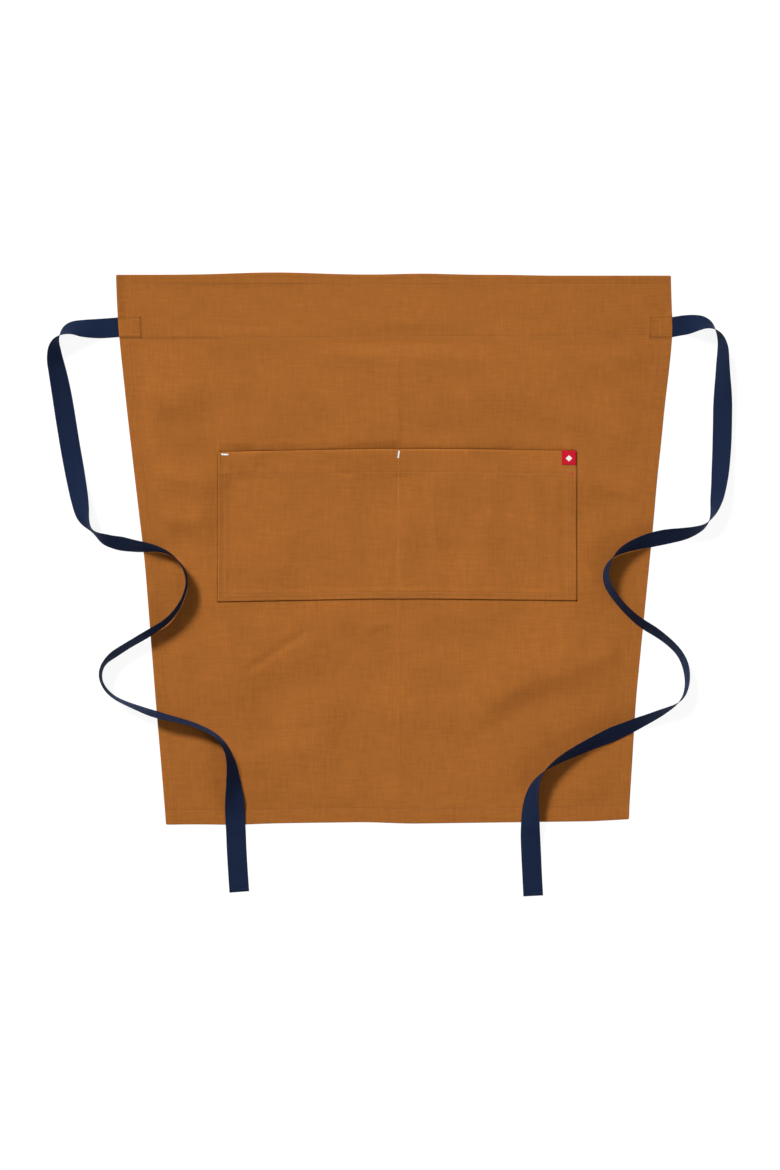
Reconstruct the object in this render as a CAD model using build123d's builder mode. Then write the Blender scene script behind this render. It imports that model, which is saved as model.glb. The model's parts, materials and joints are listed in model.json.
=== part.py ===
from build123d import *
import os
from math import atan2, degrees, dist, radians, tan

# Waist apron, laid out flat with its ties loosely arranged beside it.
# Millimetres. +Z is up, +Y points to the waistband, +X to the wearer's left as the front is seen.
# The origin is under the middle of the cloth, on the surface that the apron lies on.

# ---- driving dimensions -------------------------------------------------------------
waist_width = 711.2          # width over the waistband
foot_width = 594.0           # width along the bottom hem
full_length = 703.2          # waistband edge to bottom hem
band_depth = 85.6            # depth of the waistband and of its facing
cloth = 0.7                  # one layer of canvas
side_hem = 15.9              # finished width of the side hems
foot_hem = 19.0              # finished width of the bottom hem
tape_width = 25.4            # woven tie tape
tape_thick = 0.6
tie_height = 284.5           # where the ties leave the waistband, along Y
tie_sewn_in = 29.0           # length of tape held inside the waistband
turn_room = 0.3              # play between the turning tape end and its fixed neighbour
pocket_left, pocket_right = -227.4, 232.1
pocket_foot, pocket_mouth = -66.9, 124.7
pocket_divider = 3.9         # middle of the seam that parts the pocket in two
pocket_hem = 30.0            # depth of the turned hem along the mouth
thread = 0.8                 # width of a stitch run
thread_high = 0.25
over_cloth = 0.6             # height at which a tie passes over the cloth

# ---- worked-out levels and places -----------------------------------------------------
half_waist = waist_width / 2
half_foot = foot_width / 2
top_edge = full_length / 2
foot_edge = -full_length / 2
band_edge = top_edge - band_depth
panel_z = 2 * cloth          # the panel lies on its own turned hems
panel_top = panel_z + cloth
pocket_top = panel_top + 2 * cloth
slot_z = cloth               # the tape lies in the waistband, between facing and panel
tape_z = slot_z + (cloth - tape_thick) / 2
tie_over_z = panel_top + over_cloth
slot_half = tape_width / 2 + 3.8
turn_radius = tape_width / 2 + turn_room


def save(part, name):
    """Label one finished piece and write it to its own file."""
    part.label = name
    export_step(part, f"parts/{name}.step")


def side_x(y):
    """Half width of the cloth at height y: straight at the waistband, then tapering."""
    if y >= band_edge:
        return half_waist
    return half_waist - (half_waist - half_foot) * (band_edge - y) / (band_edge - foot_edge)


def stitch_run(name, points, z, close=False):
    """One run of sewing thread, as a low plain strip along straight lines."""
    with BuildPart() as run:
        with BuildSketch(Plane.XY.offset(z)):
            with BuildLine():
                Polyline(*points, close=close)
            trace(line_width=thread)
        extrude(amount=thread_high)
    save(run.part, name)


os.makedirs("parts", exist_ok=True)

# ---- main panel: canvas with its own turned side and bottom hems -----------------------
panel_outline = [
    (-half_waist, top_edge), (half_waist, top_edge), (half_waist, band_edge),
    (half_foot, foot_edge), (-half_foot, foot_edge), (-half_waist, band_edge),
]
hem_top = foot_edge + foot_hem
with BuildPart() as main_panel:
    with BuildSketch(Plane.XY.offset(panel_z)):
        Polygon(*panel_outline, align=None)
    extrude(amount=cloth)
    with BuildSketch(Plane.XY):
        Polygon(
            (-half_waist, band_edge), (half_waist, band_edge),
            (half_foot, foot_edge), (-half_foot, foot_edge), align=None,
        )
        Polygon(
            (side_hem - half_waist, band_edge), (half_waist - side_hem, band_edge),
            (side_x(hem_top) - side_hem, hem_top), (side_hem - side_x(hem_top), hem_top),
            align=None, mode=Mode.SUBTRACT,
        )
    extrude(amount=panel_z)
save(main_panel.part, "main_panel")

# ---- waistband facing: back layer, with its edges turned in and a slot for each tie ----
allowance = 12.0
band_middle = (top_edge + band_edge) / 2
with BuildPart() as waistband_facing:
    with BuildSketch(Plane.XY):
        with Locations((0, band_middle)):
            Rectangle(waist_width, band_depth)
    extrude(amount=cloth)
    with BuildSketch(Plane.XY.offset(slot_z)):
        with Locations((0, band_middle)):
            Rectangle(waist_width, band_depth)
            Rectangle(waist_width - 2 * allowance, band_depth - 2 * allowance, mode=Mode.SUBTRACT)
        with Locations((-half_waist, tie_height), (half_waist, tie_height)):
            Rectangle(2 * tie_sewn_in + 1, 2 * slot_half, mode=Mode.SUBTRACT)
    extrude(amount=cloth)
save(waistband_facing.part, "waistband_facing")

# ---- pocket patch: sewn flat all round and along the divider, with two open mouths -----
seam_margin = 20.0           # flat sewn strip at each side of the pocket
foot_margin = 12.0
divider_width = 4.0
tuck = 1.0                   # how far a bowed stretch runs into the flat strips
mouth_rise, hem_rise, middle_rise, foot_rise = 6.5, 6.2, 6.2, 0.4
pocket_middle_y = 30.0
hem_line = pocket_mouth - pocket_hem
bow_foot = pocket_foot + foot_margin - tuck
bows = [
    (pocket_left + seam_margin - tuck, pocket_divider - divider_width / 2 + tuck),
    (pocket_divider + divider_width / 2 - tuck, pocket_right - seam_margin + tuck),
]


def bow_section(span, y, rise, thick):
    """Cross-section, on the plane at y, of a strip of cloth that bows up between its two ends."""
    left, right = span
    middle = (left + right) / 2
    with BuildSketch(Plane.XZ.offset(-y)) as section:
        with BuildLine():
            ThreePointArc((left, panel_top), (middle, panel_top + rise), (right, panel_top))
            Line((right, panel_top), (right, panel_top + thick))
            ThreePointArc(
                (right, panel_top + thick), (middle, panel_top + rise + thick),
                (left, panel_top + thick),
            )
            Line((left, panel_top + thick), (left, panel_top))
        make_face()
    return section.sketch


with BuildPart() as pocket_patch:
    with BuildSketch(Plane.XY.offset(panel_top)):
        with Locations((pocket_left, pocket_foot)):
            Rectangle(seam_margin, pocket_mouth - pocket_foot, align=Align.MIN)
        with Locations((pocket_right - seam_margin, pocket_foot)):
            Rectangle(seam_margin, pocket_mouth - pocket_foot, align=Align.MIN)
        with Locations((pocket_left, pocket_foot)):
            Rectangle(pocket_right - pocket_left, foot_margin, align=Align.MIN)
        with Locations((pocket_divider, (pocket_foot + pocket_mouth) / 2)):
            Rectangle(divider_width, pocket_mouth - pocket_foot)
    extrude(amount=2 * cloth)
    for bow in bows:
        loft([
            bow_section(bow, pocket_mouth, mouth_rise, 2 * cloth),
            bow_section(bow, hem_line, hem_rise, 2 * cloth),
        ], ruled=True)
        loft([
            bow_section(bow, hem_line, hem_rise + cloth, cloth),
            bow_section(bow, pocket_middle_y, middle_rise, cloth),
            bow_section(bow, bow_foot, foot_rise, cloth),
        ], ruled=True)
save(pocket_patch.part, "pocket_patch")

# ---- pocket label: small folded tab over the mouth's corner ----------------------------
label_width, label_depth, label_thick = 18.6, 18.5, 0.4
label_left = pocket_right - label_width
with BuildPart() as pocket_label:
    with BuildSketch(Plane.XY.offset(pocket_top)):
        with Locations((label_left, pocket_mouth - label_depth)):
            Rectangle(label_width, label_depth, align=Align.MIN)
    extrude(amount=label_thick)
    with BuildSketch(Plane.XY.offset(panel_top)):
        with Locations((label_left, pocket_mouth)):
            Rectangle(label_width, label_thick, align=Align.MIN)
    extrude(amount=2 * cloth + label_thick)
save(pocket_label.part, "pocket_label")

# ---- bar tacks: dense zigzag knots at the pocket's stress points -----------------------
tack_high = 0.6
bar_tacks = {
    "bartack_pocket_left": (-219.0, 121.2, pocket_top, 9.0, 2.6),
    "bartack_divider": (pocket_divider, 120.0, pocket_top + 0.1, 2.6, 9.2),
    "bartack_label": (225.9, 95.0, pocket_top + thread_high, 4.6, 2.0),
}
for tack_name, (x, y, z, along_x, along_y) in bar_tacks.items():
    with BuildPart() as bar_tack:
        with BuildSketch(Plane.XY.offset(z)):
            with Locations((x, y)):
                RectangleRounded(along_x, along_y, 0.8)
        extrude(amount=tack_high)
        chamfer(bar_tack.edges().group_by(Axis.Z)[-1], 0.2)
    save(bar_tack.part, tack_name)

# ---- seams of the cloth ---------------------------------------------------------------
side_seam = side_hem - 2.0
foot_seam = foot_edge + foot_hem - 1.5
band_seam = band_edge + 4.0
band_top_seam = top_edge - 10.5
end_gap = 2.0                # a seam stops this short of the cloth's edge
divider_seam_top = 113.0
row_insets = {"pocket_outer_thread": 3.2, "pocket_inner_thread": 8.0}
for side, sign in (("left", -1), ("right", 1)):
    stitch_run(f"side_hem_thread_{side}", [
        (sign * (side_x(band_edge) - side_seam), band_edge),
        (sign * (side_x(foot_seam + end_gap) - side_seam), foot_seam + end_gap),
    ], panel_top)
stitch_run("bottom_hem_thread", [
    (end_gap - side_x(foot_seam), foot_seam), (side_x(foot_seam) - end_gap, foot_seam)],
    panel_top)
for seam_name, y in (("waistband_lower_thread", band_seam), ("waistband_upper_thread", band_top_seam)):
    stitch_run(seam_name, [(end_gap - half_waist, y), (half_waist - end_gap, y)], panel_top)

# ---- seams of the pocket ----------------------------------------------------------------
row_top = pocket_mouth - label_depth - 1
for row_name, inset in row_insets.items():
    stitch_run(row_name, [
        (pocket_left + inset, row_top),
        (pocket_left + inset, pocket_foot + inset),
        (pocket_right - inset, pocket_foot + inset),
        (pocket_right - inset, row_top),
    ], pocket_top)
stitch_run("pocket_divider_thread", [
    (pocket_divider, pocket_foot + foot_margin), (pocket_divider, divider_seam_top)], pocket_top)

hem_stitch_inset = 2.0       # the row along the mouth's hem stops this short of each bow's end
hem_stitch_lift = 0.6        # and follows the bow this far above the flat strips there
crown = pocket_top + hem_rise + 0.05
seat = pocket_top + hem_stitch_lift
with BuildPart() as pocket_hem_thread:
    for left, right in bows:
        start, stop = left + hem_stitch_inset, right - hem_stitch_inset
        middle = (left + right) / 2
        with BuildSketch(Plane.XZ.offset(-hem_line - 1)):
            with BuildLine():
                ThreePointArc((start, seat), (middle, crown), (stop, seat))
                Line((stop, seat), (stop, seat + thread_high))
                ThreePointArc(
                    (stop, seat + thread_high), (middle, crown + thread_high),
                    (start, seat + thread_high),
                )
                Line((start, seat + thread_high), (start, seat))
            make_face()
        extrude(amount=-thread)
save(pocket_hem_thread.part, "pocket_hem_thread")

with BuildPart() as label_thread:
    with BuildSketch(Plane.XY.offset(pocket_top + label_thick)):
        with Locations((label_left + label_width / 2, pocket_mouth - label_depth + 1.5)):
            Rectangle(label_width - 2, 0.5)
    extrude(amount=0.2)
save(label_thread.part, "label_thread")

# ---- tie ends sewn into the waistband, and their box stitching ---------------------------
end_start = 8.0              # the sewn end starts this far in from the cloth's edge
box_start, box_inset = 15.5, 1.5
box_half = tape_width / 2 - 3
for side, sign in (("left", -1), ("right", 1)):
    pivot = (sign * half_waist, tie_height)
    with BuildPart() as sewn_end:
        with BuildSketch(Plane.XY.offset(slot_z)):
            with Locations((sign * (half_waist - tie_sewn_in / 2), tie_height)):
                Rectangle(tie_sewn_in, tape_width)
            with Locations(pivot):
                Circle(turn_radius, mode=Mode.SUBTRACT)
        extrude(amount=cloth)
        keep_side = Keep.TOP if sign < 0 else Keep.BOTTOM
        split(bisect_by=Plane.YZ.offset(pivot[0] - sign * end_start), keep=keep_side)
    save(sewn_end.part, f"tie_{side}_sewn_end")
    box_near = sign * (half_waist - box_start)
    box_far = sign * (half_waist - tie_sewn_in + box_inset)
    stitch_run(f"tie_{side}_box_thread", [
        (box_near, tie_height - box_half), (box_near, tie_height + box_half),
        (box_far, tie_height + box_half), (box_far, tie_height - box_half),
    ], panel_top, close=True)

# ---- the ties: woven tape, each one solid ------------------------------------------------
# Each route is the tape's middle line, seen from above, from the waistband to the free end.
# The tape lies flat beside the apron, stands on edge where it winds over the cloth, and lies
# flat again along its tail.
routes = {
    "left": [
        (-355.6, 284.5), (-392, 282.5), (-424, 283.5), (-444, 262), (-433, 208),
        (-421.5, 140), (-409, 80), (-398, 32), (-375, 10), (-333, 2.5), (-295, -1.5),
        (-271, -21), (-264.5, -50), (-283, -87), (-313, -108), (-351, -129),
        (-373, -143.5), (-381, -157), (-381, -172), (-369, -188), (-345, -202),
        (-305, -215), (-257, -227), (-226, -242), (-210.5, -268), (-206.8, -308),
        (-205.5, -352), (-204, -398), (-200.8, -441.7),
    ],
    "right": [
        (355.6, 284.5), (382, 287), (407, 288), (422.5, 266), (421.5, 232),
        (421.6, 180), (419.5, 126), (414, 72), (405, 32), (379, 19), (340, 14.5),
        (301, 4), (277, -10), (267, -36), (279, -62), (308, -92), (345, -114.5),
        (369, -139), (377, -170), (370, -197), (340, -213), (300, -231), (250, -251.5),
        (211, -271.5), (186.5, -290), (175.5, -316), (172.8, -354), (175, -400),
        (177, -446.8),
    ],
}
# Heights along Y where the tape turns up on edge and where it lies down again.
on_edge_from = {"left": 30.0, "right": 45.0}
on_edge_to = {"left": -275.0, "right": -288.0}
riser_length = 18.0
blend = 5.0                  # overlap of neighbouring stretches
past_end = 150.0             # cuts the tail below its end, so that it stays whole
end_hem = 8.0


def corner_radii(points):
    """Radius for each corner: 0.45 of the shorter run over the tangent of half the turn."""
    radii = []
    for before, corner, after in zip(points, points[1:], points[2:]):
        turn_in = atan2(corner[1] - before[1], corner[0] - before[0])
        turn_out = atan2(after[1] - corner[1], after[0] - corner[0])
        turn = abs((turn_out - turn_in + radians(180)) % radians(360) - radians(180))
        radii.append(0.45 * min(dist(before, corner), dist(corner, after)) / tan(turn / 2))
    return radii


def tape_stretch(route, width, z, high, y_low, y_high):
    """The stretch of tape between two heights along Y, flat or on edge by its width."""
    with BuildPart() as stretch:
        with BuildSketch(Plane.XY.offset(z)):
            with BuildLine():
                FilletPolyline(*route, radius=corner_radii(route))
            trace(line_width=width)
        extrude(amount=high)
        split(bisect_by=Plane.XZ.offset(-y_low), keep=Keep.BOTTOM)
        split(bisect_by=Plane.XZ.offset(-y_high), keep=Keep.TOP)
    return stretch.part


for side, sign in (("left", -1), ("right", 1)):
    route = routes[side]
    edge_from, edge_to = on_edge_from[side], on_edge_to[side]
    flat_stretch = tape_stretch(
        route, tape_width, tape_z, tape_thick, edge_from - 2 * blend, top_edge)
    riser = tape_stretch(
        route, tape_thick, tape_z, tie_over_z - tape_z + blend, edge_from - riser_length, edge_from)
    winding = tape_stretch(route, tape_thick, tie_over_z, tape_width, edge_to - blend, edge_from)
    tail = tape_stretch(
        route, tape_width, tie_over_z, tape_thick, foot_edge - past_end, edge_to)
    (back_x, back_y), (end_x, end_y) = route[-2], route[-1]
    heading = degrees(atan2(end_y - back_y, end_x - back_x))
    with BuildPart() as tie:
        add(flat_stretch)
        add(riser)
        add(winding)
        add(tail)
        with BuildSketch(Plane.XY.offset(tape_z)):
            with Locations(route[0]):
                Circle(tape_width / 2)
        extrude(amount=tape_thick)
        with BuildSketch(Plane.XY.offset(tie_over_z - tape_thick)):
            with Locations(Location((end_x, end_y), heading)):
                Rectangle(end_hem, tape_width, align=(Align.MAX, Align.CENTER))
        extrude(amount=tape_thick)
    save(tie.part, f"tie_{side}")
    with BuildPart() as end_thread:
        with BuildSketch(Plane.XY.offset(tie_over_z + tape_thick)):
            with Locations(Location((end_x, end_y), heading)):
                with Locations((end_gap - end_hem, 0)):
                    Rectangle(thread, tape_width - end_gap)
        extrude(amount=thread_high)
    save(end_thread.part, f"tie_{side}_end_thread")
    length = sum(dist(a, b) for a, b in zip(route, route[1:]))
    print(f"tie_{side}: runs {length:.0f} mm, volume {tie.part.volume:.0f} mm3,",
          "radii", " ".join(f"{r:.0f}" for r in corner_radii(route)))
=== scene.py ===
# %% [markdown]
# # A canvas waist apron, laid out flat
#
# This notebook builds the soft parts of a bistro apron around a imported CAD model. The CAD holds the sizes,
# the seams' places and the two hinges. Blender adds what cloth really looks like: folded hems, canvas that
# never lies quite flat, twisted tape and thousands of small stitches.
#
# It brings in the CAD nodes at their real place, in metres, with +Z up and +Y towards the waistband.

# %% Load the frame
import json
from math import atan2, cos, hypot, pi, radians, sin

import bpy
import numpy as np
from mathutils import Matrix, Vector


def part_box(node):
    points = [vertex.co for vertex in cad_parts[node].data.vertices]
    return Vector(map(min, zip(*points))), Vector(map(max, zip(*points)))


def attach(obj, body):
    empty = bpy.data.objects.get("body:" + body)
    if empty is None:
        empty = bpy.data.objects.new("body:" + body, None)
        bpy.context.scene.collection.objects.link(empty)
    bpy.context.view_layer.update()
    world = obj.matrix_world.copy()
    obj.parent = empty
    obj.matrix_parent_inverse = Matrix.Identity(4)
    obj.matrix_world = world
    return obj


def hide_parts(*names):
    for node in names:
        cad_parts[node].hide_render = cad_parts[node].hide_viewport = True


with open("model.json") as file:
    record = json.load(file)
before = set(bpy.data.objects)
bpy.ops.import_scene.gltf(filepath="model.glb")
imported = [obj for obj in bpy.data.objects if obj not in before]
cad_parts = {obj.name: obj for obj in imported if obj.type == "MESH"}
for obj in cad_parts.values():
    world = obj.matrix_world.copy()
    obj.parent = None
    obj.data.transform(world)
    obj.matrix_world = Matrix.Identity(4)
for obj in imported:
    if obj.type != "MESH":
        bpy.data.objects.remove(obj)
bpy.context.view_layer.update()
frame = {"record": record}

# %% [markdown]
# ## Camera
#
# A catalogue picture of flat-laid clothes is taken from straight above, so that the outline isn't
# distorted. A longish lens from 2.4 m keeps the 25 mm tall tape edges from leaning outwards. The camera's
# own rotation of zero already looks down -Z with +Y up, which is just what is needed.

# %% Camera
eye = (-0.007, -0.047, 2.4)
camera_data = bpy.data.cameras.new("camera")
camera_data.lens = 57.4
camera_data.sensor_width = 36.0
camera = bpy.data.objects.new("camera", camera_data)
camera.location = eye
bpy.context.collection.objects.link(camera)
bpy.context.scene.camera = camera
view_span = eye[2] * camera_data.sensor_width / camera_data.lens
print(f"the long side of the picture spans {view_span:.3f} m")

# %% [markdown]
# ## Light and floor
#
# One large soft lamp stands up and to the left. Its height above the horizon, a little over 40 degrees,
# sets how far the standing tape throws its shadow, and its size sets how soft that shadow is. It stands 5 m
# away and its soft cone is centred on the upper left of the cloth, so the cloth grows a little darker
# towards its far corner. A weaker and softer lamp opposite gives the tape a faint second shadow, and the
# even world light fills them both. The floor is plain, pale and matt, and a glow of its own keeps it white
# to its far corners, with hardly a shadow on it.

# %% Light
def aim_lamp(name, target, towards, distance, size, power, cone):
    """A soft spot lamp in a direction from a target on the cloth, facing back to it."""
    lamp_data = bpy.data.lights.new(name, "SPOT")
    lamp_data.shadow_soft_size = size
    lamp_data.energy = power
    lamp_data.spot_size = cone
    lamp_data.spot_blend = 1.0
    lamp = bpy.data.objects.new(name, lamp_data)
    length = hypot(*towards)
    direction = [part / length for part in towards]
    lamp.location = [start + part * distance for start, part in zip(target, direction)]
    x, y, z = direction
    lamp.rotation_euler = (atan2(hypot(x, y), z), 0, atan2(x, -y))
    bpy.context.collection.objects.link(lamp)


aim_lamp("key_lamp", target=(-0.165, 0.190, 0), towards=(-0.38, 0.50, 0.586), distance=5.0, size=1.0,
         power=3830, cone=radians(17.6))
aim_lamp("fill_lamp", target=(0, 0, 0), towards=(0.62, -0.34, 0.59), distance=5.0, size=1.5,
         power=640, cone=radians(24))

world = bpy.data.worlds.new("studio")
world.use_nodes = True
sky = world.node_tree.nodes["Background"]
sky.inputs["Color"].default_value = (1.0, 1.0, 1.0, 1)
sky.inputs["Strength"].default_value = 0.24
bpy.context.scene.world = world
bpy.context.scene.view_settings.view_transform = "Standard"

# %% [markdown]
# ## Writing materials as sums
#
# Shader nodes are easier to read as formulas. `Wire` wraps one socket, and adding or multiplying two wires
# adds a Math node to the tree. `node` makes any other node: its settings go in first, because they can
# change which sockets it has, and then its values or links.

# %% Shader helper
class Wire:
    """One socket of a material's node tree; arithmetic on it adds Math nodes."""

    def __init__(self, tree, socket):
        self.tree, self.socket = tree, socket

    def node(self, kind, settings=None, values=None, output=0):
        """A new node of any kind: settings are set first, then values or links go into its sockets."""
        made = self.tree.nodes.new(kind)
        for name, value in (settings or {}).items():
            setattr(made, name, value)
        for name, value in (values or {}).items():
            if isinstance(value, Wire):
                self.tree.links.new(value.socket, made.inputs[name])
            else:
                made.inputs[name].default_value = value
        return Wire(self.tree, made.outputs[output])

    def maths(self, operation, *others):
        """A Math node with this wire as its first value."""
        values = dict(enumerate((self, *others)))
        return self.node("ShaderNodeMath", {"operation": operation}, values)

    def __add__(self, other):
        return self.maths("ADD", other)

    __radd__ = __add__

    def __mul__(self, other):
        return self.maths("MULTIPLY", other)

    __rmul__ = __mul__

    def __sub__(self, other):
        return self.maths("SUBTRACT", other)

    def __rsub__(self, other):
        return (self * -1.0).maths("ADD", other)

    def __truediv__(self, other):
        return self.maths("DIVIDE", other)

    def split(self):
        """The X, Y and Z of a vector wire."""
        return [self.node("ShaderNodeSeparateXYZ", values={0: self}, output=axis) for axis in range(3)]

    def clamped(self):
        """This number wire kept between 0 and 1."""
        return self.node("ShaderNodeClamp", values={0: self})

    def ripple(self, pitch):
        """0 to 1 and back again, once in every pitch."""
        return (self / pitch).maths("FRACT").maths("PINGPONG", 0.5) * 2.0

    def noise(self, scale, detail=2.0, rough=0.5):
        """Soft noise from 0 to 1 on this vector wire."""
        return self.node("ShaderNodeTexNoise", values={
            "Vector": self, "Scale": scale, "Detail": detail, "Roughness": rough})

    def stretched(self, x, y, z=1.0):
        """This vector wire with each axis scaled, to draw a pattern out along one direction."""
        return self.node("ShaderNodeVectorMath", {"operation": "MULTIPLY"}, {0: self, 1: (x, y, z)})

    def tinted(self, colour):
        """This number wire as brightness on a plain colour."""
        return self.node("ShaderNodeVectorMath", {"operation": "SCALE"}, {0: colour, "Scale": self})


# %% Starting and ending a finish
def new_finish(name, roughness, specular=0.3, sheen=0.0, sheen_colour=(1.0, 1.0, 1.0)):
    """An empty material, with its shader's node and a wire to start formulas from."""
    finish = bpy.data.materials.new(name)
    finish.use_nodes = True
    tree = finish.node_tree
    shader = tree.nodes["Principled BSDF"]
    shader.inputs["Roughness"].default_value = roughness
    shader.inputs["Specular IOR Level"].default_value = specular
    shader.inputs["Sheen Weight"].default_value = sheen
    shader.inputs["Sheen Roughness"].default_value = 0.25
    shader.inputs["Sheen Tint"].default_value = (*sheen_colour, 1)
    return finish, shader, Wire(tree, shader.outputs[0])


def paint(shader, start, colour, height, deep):
    """Link a colour and a bump height to a shader; deep is the bump's height in metres."""
    links = start.tree.links
    links.new(colour.socket, shader.inputs["Base Color"])
    bump = start.node("ShaderNodeBump", values={"Height": height, "Distance": deep, "Strength": 1.0})
    links.new(bump.socket, shader.inputs["Normal"])


# %% Floor
floor_finish, floor_shader, _ = new_finish("floor_paper", roughness=0.9, specular=0.1)
floor_shader.inputs["Base Color"].default_value = (0.16, 0.16, 0.16, 1)
floor_shader.inputs["Emission Color"].default_value = (1, 1, 1, 1)
floor_shader.inputs["Emission Strength"].default_value = 0.90
floor_reach = 6.0
floor_mesh = bpy.data.meshes.new("floor")
floor_corners = [(x * floor_reach, y * floor_reach, 0) for x, y in ((-1, -1), (1, -1), (1, 1), (-1, 1))]
floor_mesh.from_pydata(floor_corners, [], [(0, 1, 2, 3)])
floor_mesh.materials.append(floor_finish)
floor = bpy.data.objects.new("floor", floor_mesh)
bpy.context.collection.objects.link(floor)

# %% [markdown]
# ## Canvas
#
# The cloth is 12 oz cotton canvas, dyed in the piece: a plain weave, each yarn going over one and under
# one. Seen from 2 m the weave is only a grain, but close up it has to be there. The pattern is worked out
# from Object coordinates, so that one weave runs unbroken over the panel. A checker says which yarn is on
# top, and a rounded profile across that yarn gives its height. Slubs, the thicker places in cotton yarn,
# are noise drawn out along each direction. An attribute painted on the mesh later adds wear and painted
# shade to the colour: folded edges are rubbed a little lighter, and painted shade darkens the cloth along
# seams and where another layer lies on it.

# %% Canvas finish
yarn_pitch = 0.00062
canvas_colour = (0.350, 0.1190, 0.0232)


def canvas_finish(name, colour, pitch):
    """Plain weave: yarns at a pitch, with slubs and streaks drawn out along both directions."""
    finish, shader, start = new_finish(name, roughness=0.95, specular=0.05)
    place = start.node("ShaderNodeTexCoord", output="Object")
    x, y, _ = place.split()
    across, along = x / pitch, y / pitch
    over = (across.maths("FLOOR") + along.maths("FLOOR")).maths("PINGPONG", 1.0)
    warp = 1.0 - (across.maths("FRACT") - 0.5).maths("ABSOLUTE") * 2.0
    weft = 1.0 - (along.maths("FRACT") - 0.5).maths("ABSOLUTE") * 2.0
    weave = over * warp.maths("SQRT") + (1.0 - over) * weft.maths("SQRT")
    slub_along = place.stretched(60.0, 900.0, 60.0).noise(1.0, 3.0, 0.6)
    slub_across = place.stretched(1100.0, 70.0, 70.0).noise(1.0, 3.0, 0.6)
    streak_along = place.stretched(38.0, 330.0, 38.0).noise(1.0, 2.0, 0.6)
    streak_across = place.stretched(370.0, 34.0, 34.0).noise(1.0, 2.0, 0.6)
    clouds = place.noise(9.0, 3.0, 0.55)
    # This attribute holds rubbed wear together with painted shade and painted highlights from the seams and
    # the pocket.
    wear = start.node("ShaderNodeAttribute", {"attribute_name": "wear"}, output="Fac")
    yarns = (slub_along - 0.5) * 0.26 + (slub_across - 0.5) * 0.22
    streaks = (streak_along - 0.5) * 0.32 + (streak_across - 0.5) * 0.32
    grain = yarns + streaks + (clouds - 0.5) * 0.10
    bright = (1.0 + grain + (weave - 0.6) * 0.08) * (1.0 + wear)
    height = weave * 0.75 + slub_along * 0.5 + slub_across * 0.35
    paint(shader, start, colour=bright.tinted(colour), height=height, deep=0.00014)
    return finish


canvas = canvas_finish("canvas", canvas_colour, yarn_pitch)

# %% [markdown]
# ## Twill tape
#
# Apron tape is a narrow woven band: twill ribs that run slantwise and turn back at every quarter of its
# width, so that they make chevrons, with a firm selvedge at each side. Its own UV map carries the pattern, in
# metres across and along the tape, because the tape twists and no flat direction would follow it.

# %% Tape finish
tape_width = 0.0254
half_tape = tape_width / 2
tape_thick = 0.0006


def tape_finish(name, colour, rib=0.0013, pick=0.00045):
    """Chevron twill: slanting ribs, fine picks across them, and a selvedge at each side."""
    finish, shader, start = new_finish(name, roughness=0.85, specular=0.08, sheen=0.10,
                                       sheen_colour=(0.40, 0.55, 1.0))
    place = start.node("ShaderNodeUVMap", {"uv_map": "tape"})
    across, along, _ = place.split()
    chevron = tape_width / 4
    folded = (across / chevron).maths("PINGPONG", 1.0) * chevron
    slant = ((along + folded) / rib).maths("FRACT")
    ribs = 1.0 - ((slant - 0.5).maths("ABSOLUTE") * 2.0).maths("POWER", 2.0)
    picks = along.ripple(pick)
    side = (across - half_tape).maths("ABSOLUTE") / half_tape
    selvedge = ((side - 0.93) * 40.0).clamped()
    fuzz = place.stretched(900.0, 260.0).noise(1.0, 3.0, 0.6)
    bright = 0.86 + ribs * 0.16 + fuzz * 0.30 - selvedge * 0.10
    height = ribs * (1.0 - selvedge) + picks * 0.35 + selvedge * 0.5
    paint(shader, start, colour=bright.tinted(colour), height=height, deep=0.00016)
    return finish


tape = tape_finish("tape", (0.0080, 0.0156, 0.0440))

# %% [markdown]
# ## How the cloth lies
#
# Everything that rests on the cloth has to know how high it is, so its surface is a function of X and Y
# that each piece can ask: the panel, the pocket, the stitches and the ties. Canvas that was folded in a
# packet keeps a crease down its middle, and between its thick hems it has creases and shallow swells
# that lift it off the floor, by some 10 mm at most.
#
# The outline leans a little off true as well, as sewn cloth does: its sides pull in, its foot is slightly
# askew, and its top edge has two shallow bulges. `through` draws a line through a few points and rounds
# its corners off. `ease` is the smooth step that fades one rule into the next.

# %% Measures from the frame
panel_low, panel_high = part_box("main_panel")
pocket_low, pocket_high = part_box("pocket_patch")
facing_low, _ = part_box("waistband_facing")
top_edge, foot_edge = panel_high.y, panel_low.y
band_edge = facing_low.y
half_waist = panel_high.x
waist_width, foot_width, band_depth = 0.7112, 0.594, 0.0856
cloth = 0.0007
side_hem, foot_hem = 0.0159, 0.0190
side_seam, foot_seam = side_hem - 0.002, foot_edge + foot_hem - 0.0015
band_seam, band_top_seam = band_edge + 0.004, top_edge - 0.0115
pocket_left, pocket_right = pocket_low.x, pocket_high.x
pocket_foot, pocket_mouth = pocket_low.y, pocket_high.y
pocket_divider = 0.0039
pocket_hem = 0.030
hinge = {joint["name"]: joint["pos_m"] for joint in frame["record"]["behaviour"]["joints"]}
tie_y = hinge["tie_left_swing"][1]
tie_sewn_in = 0.029
print(f"panel {2 * half_waist:.3f} m wide, {top_edge - foot_edge:.3f} m long; "
      f"pocket {pocket_right - pocket_left:.3f} m wide")


# %% Smooth steps and lines
def ease(value):
    """0 below 0, 1 above 1, and a smooth step between."""
    value = np.clip(value, 0.0, 1.0)
    return value * value * (3 - 2 * value)


def through(value, points, soften):
    """A line through a few (place, value) points, with its corners rounded over a distance."""
    places, values = zip(*points)
    steps = np.linspace(-soften, soften, 9)
    return np.mean([np.interp(value + step, places, values) for step in steps], axis=0)


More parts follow.
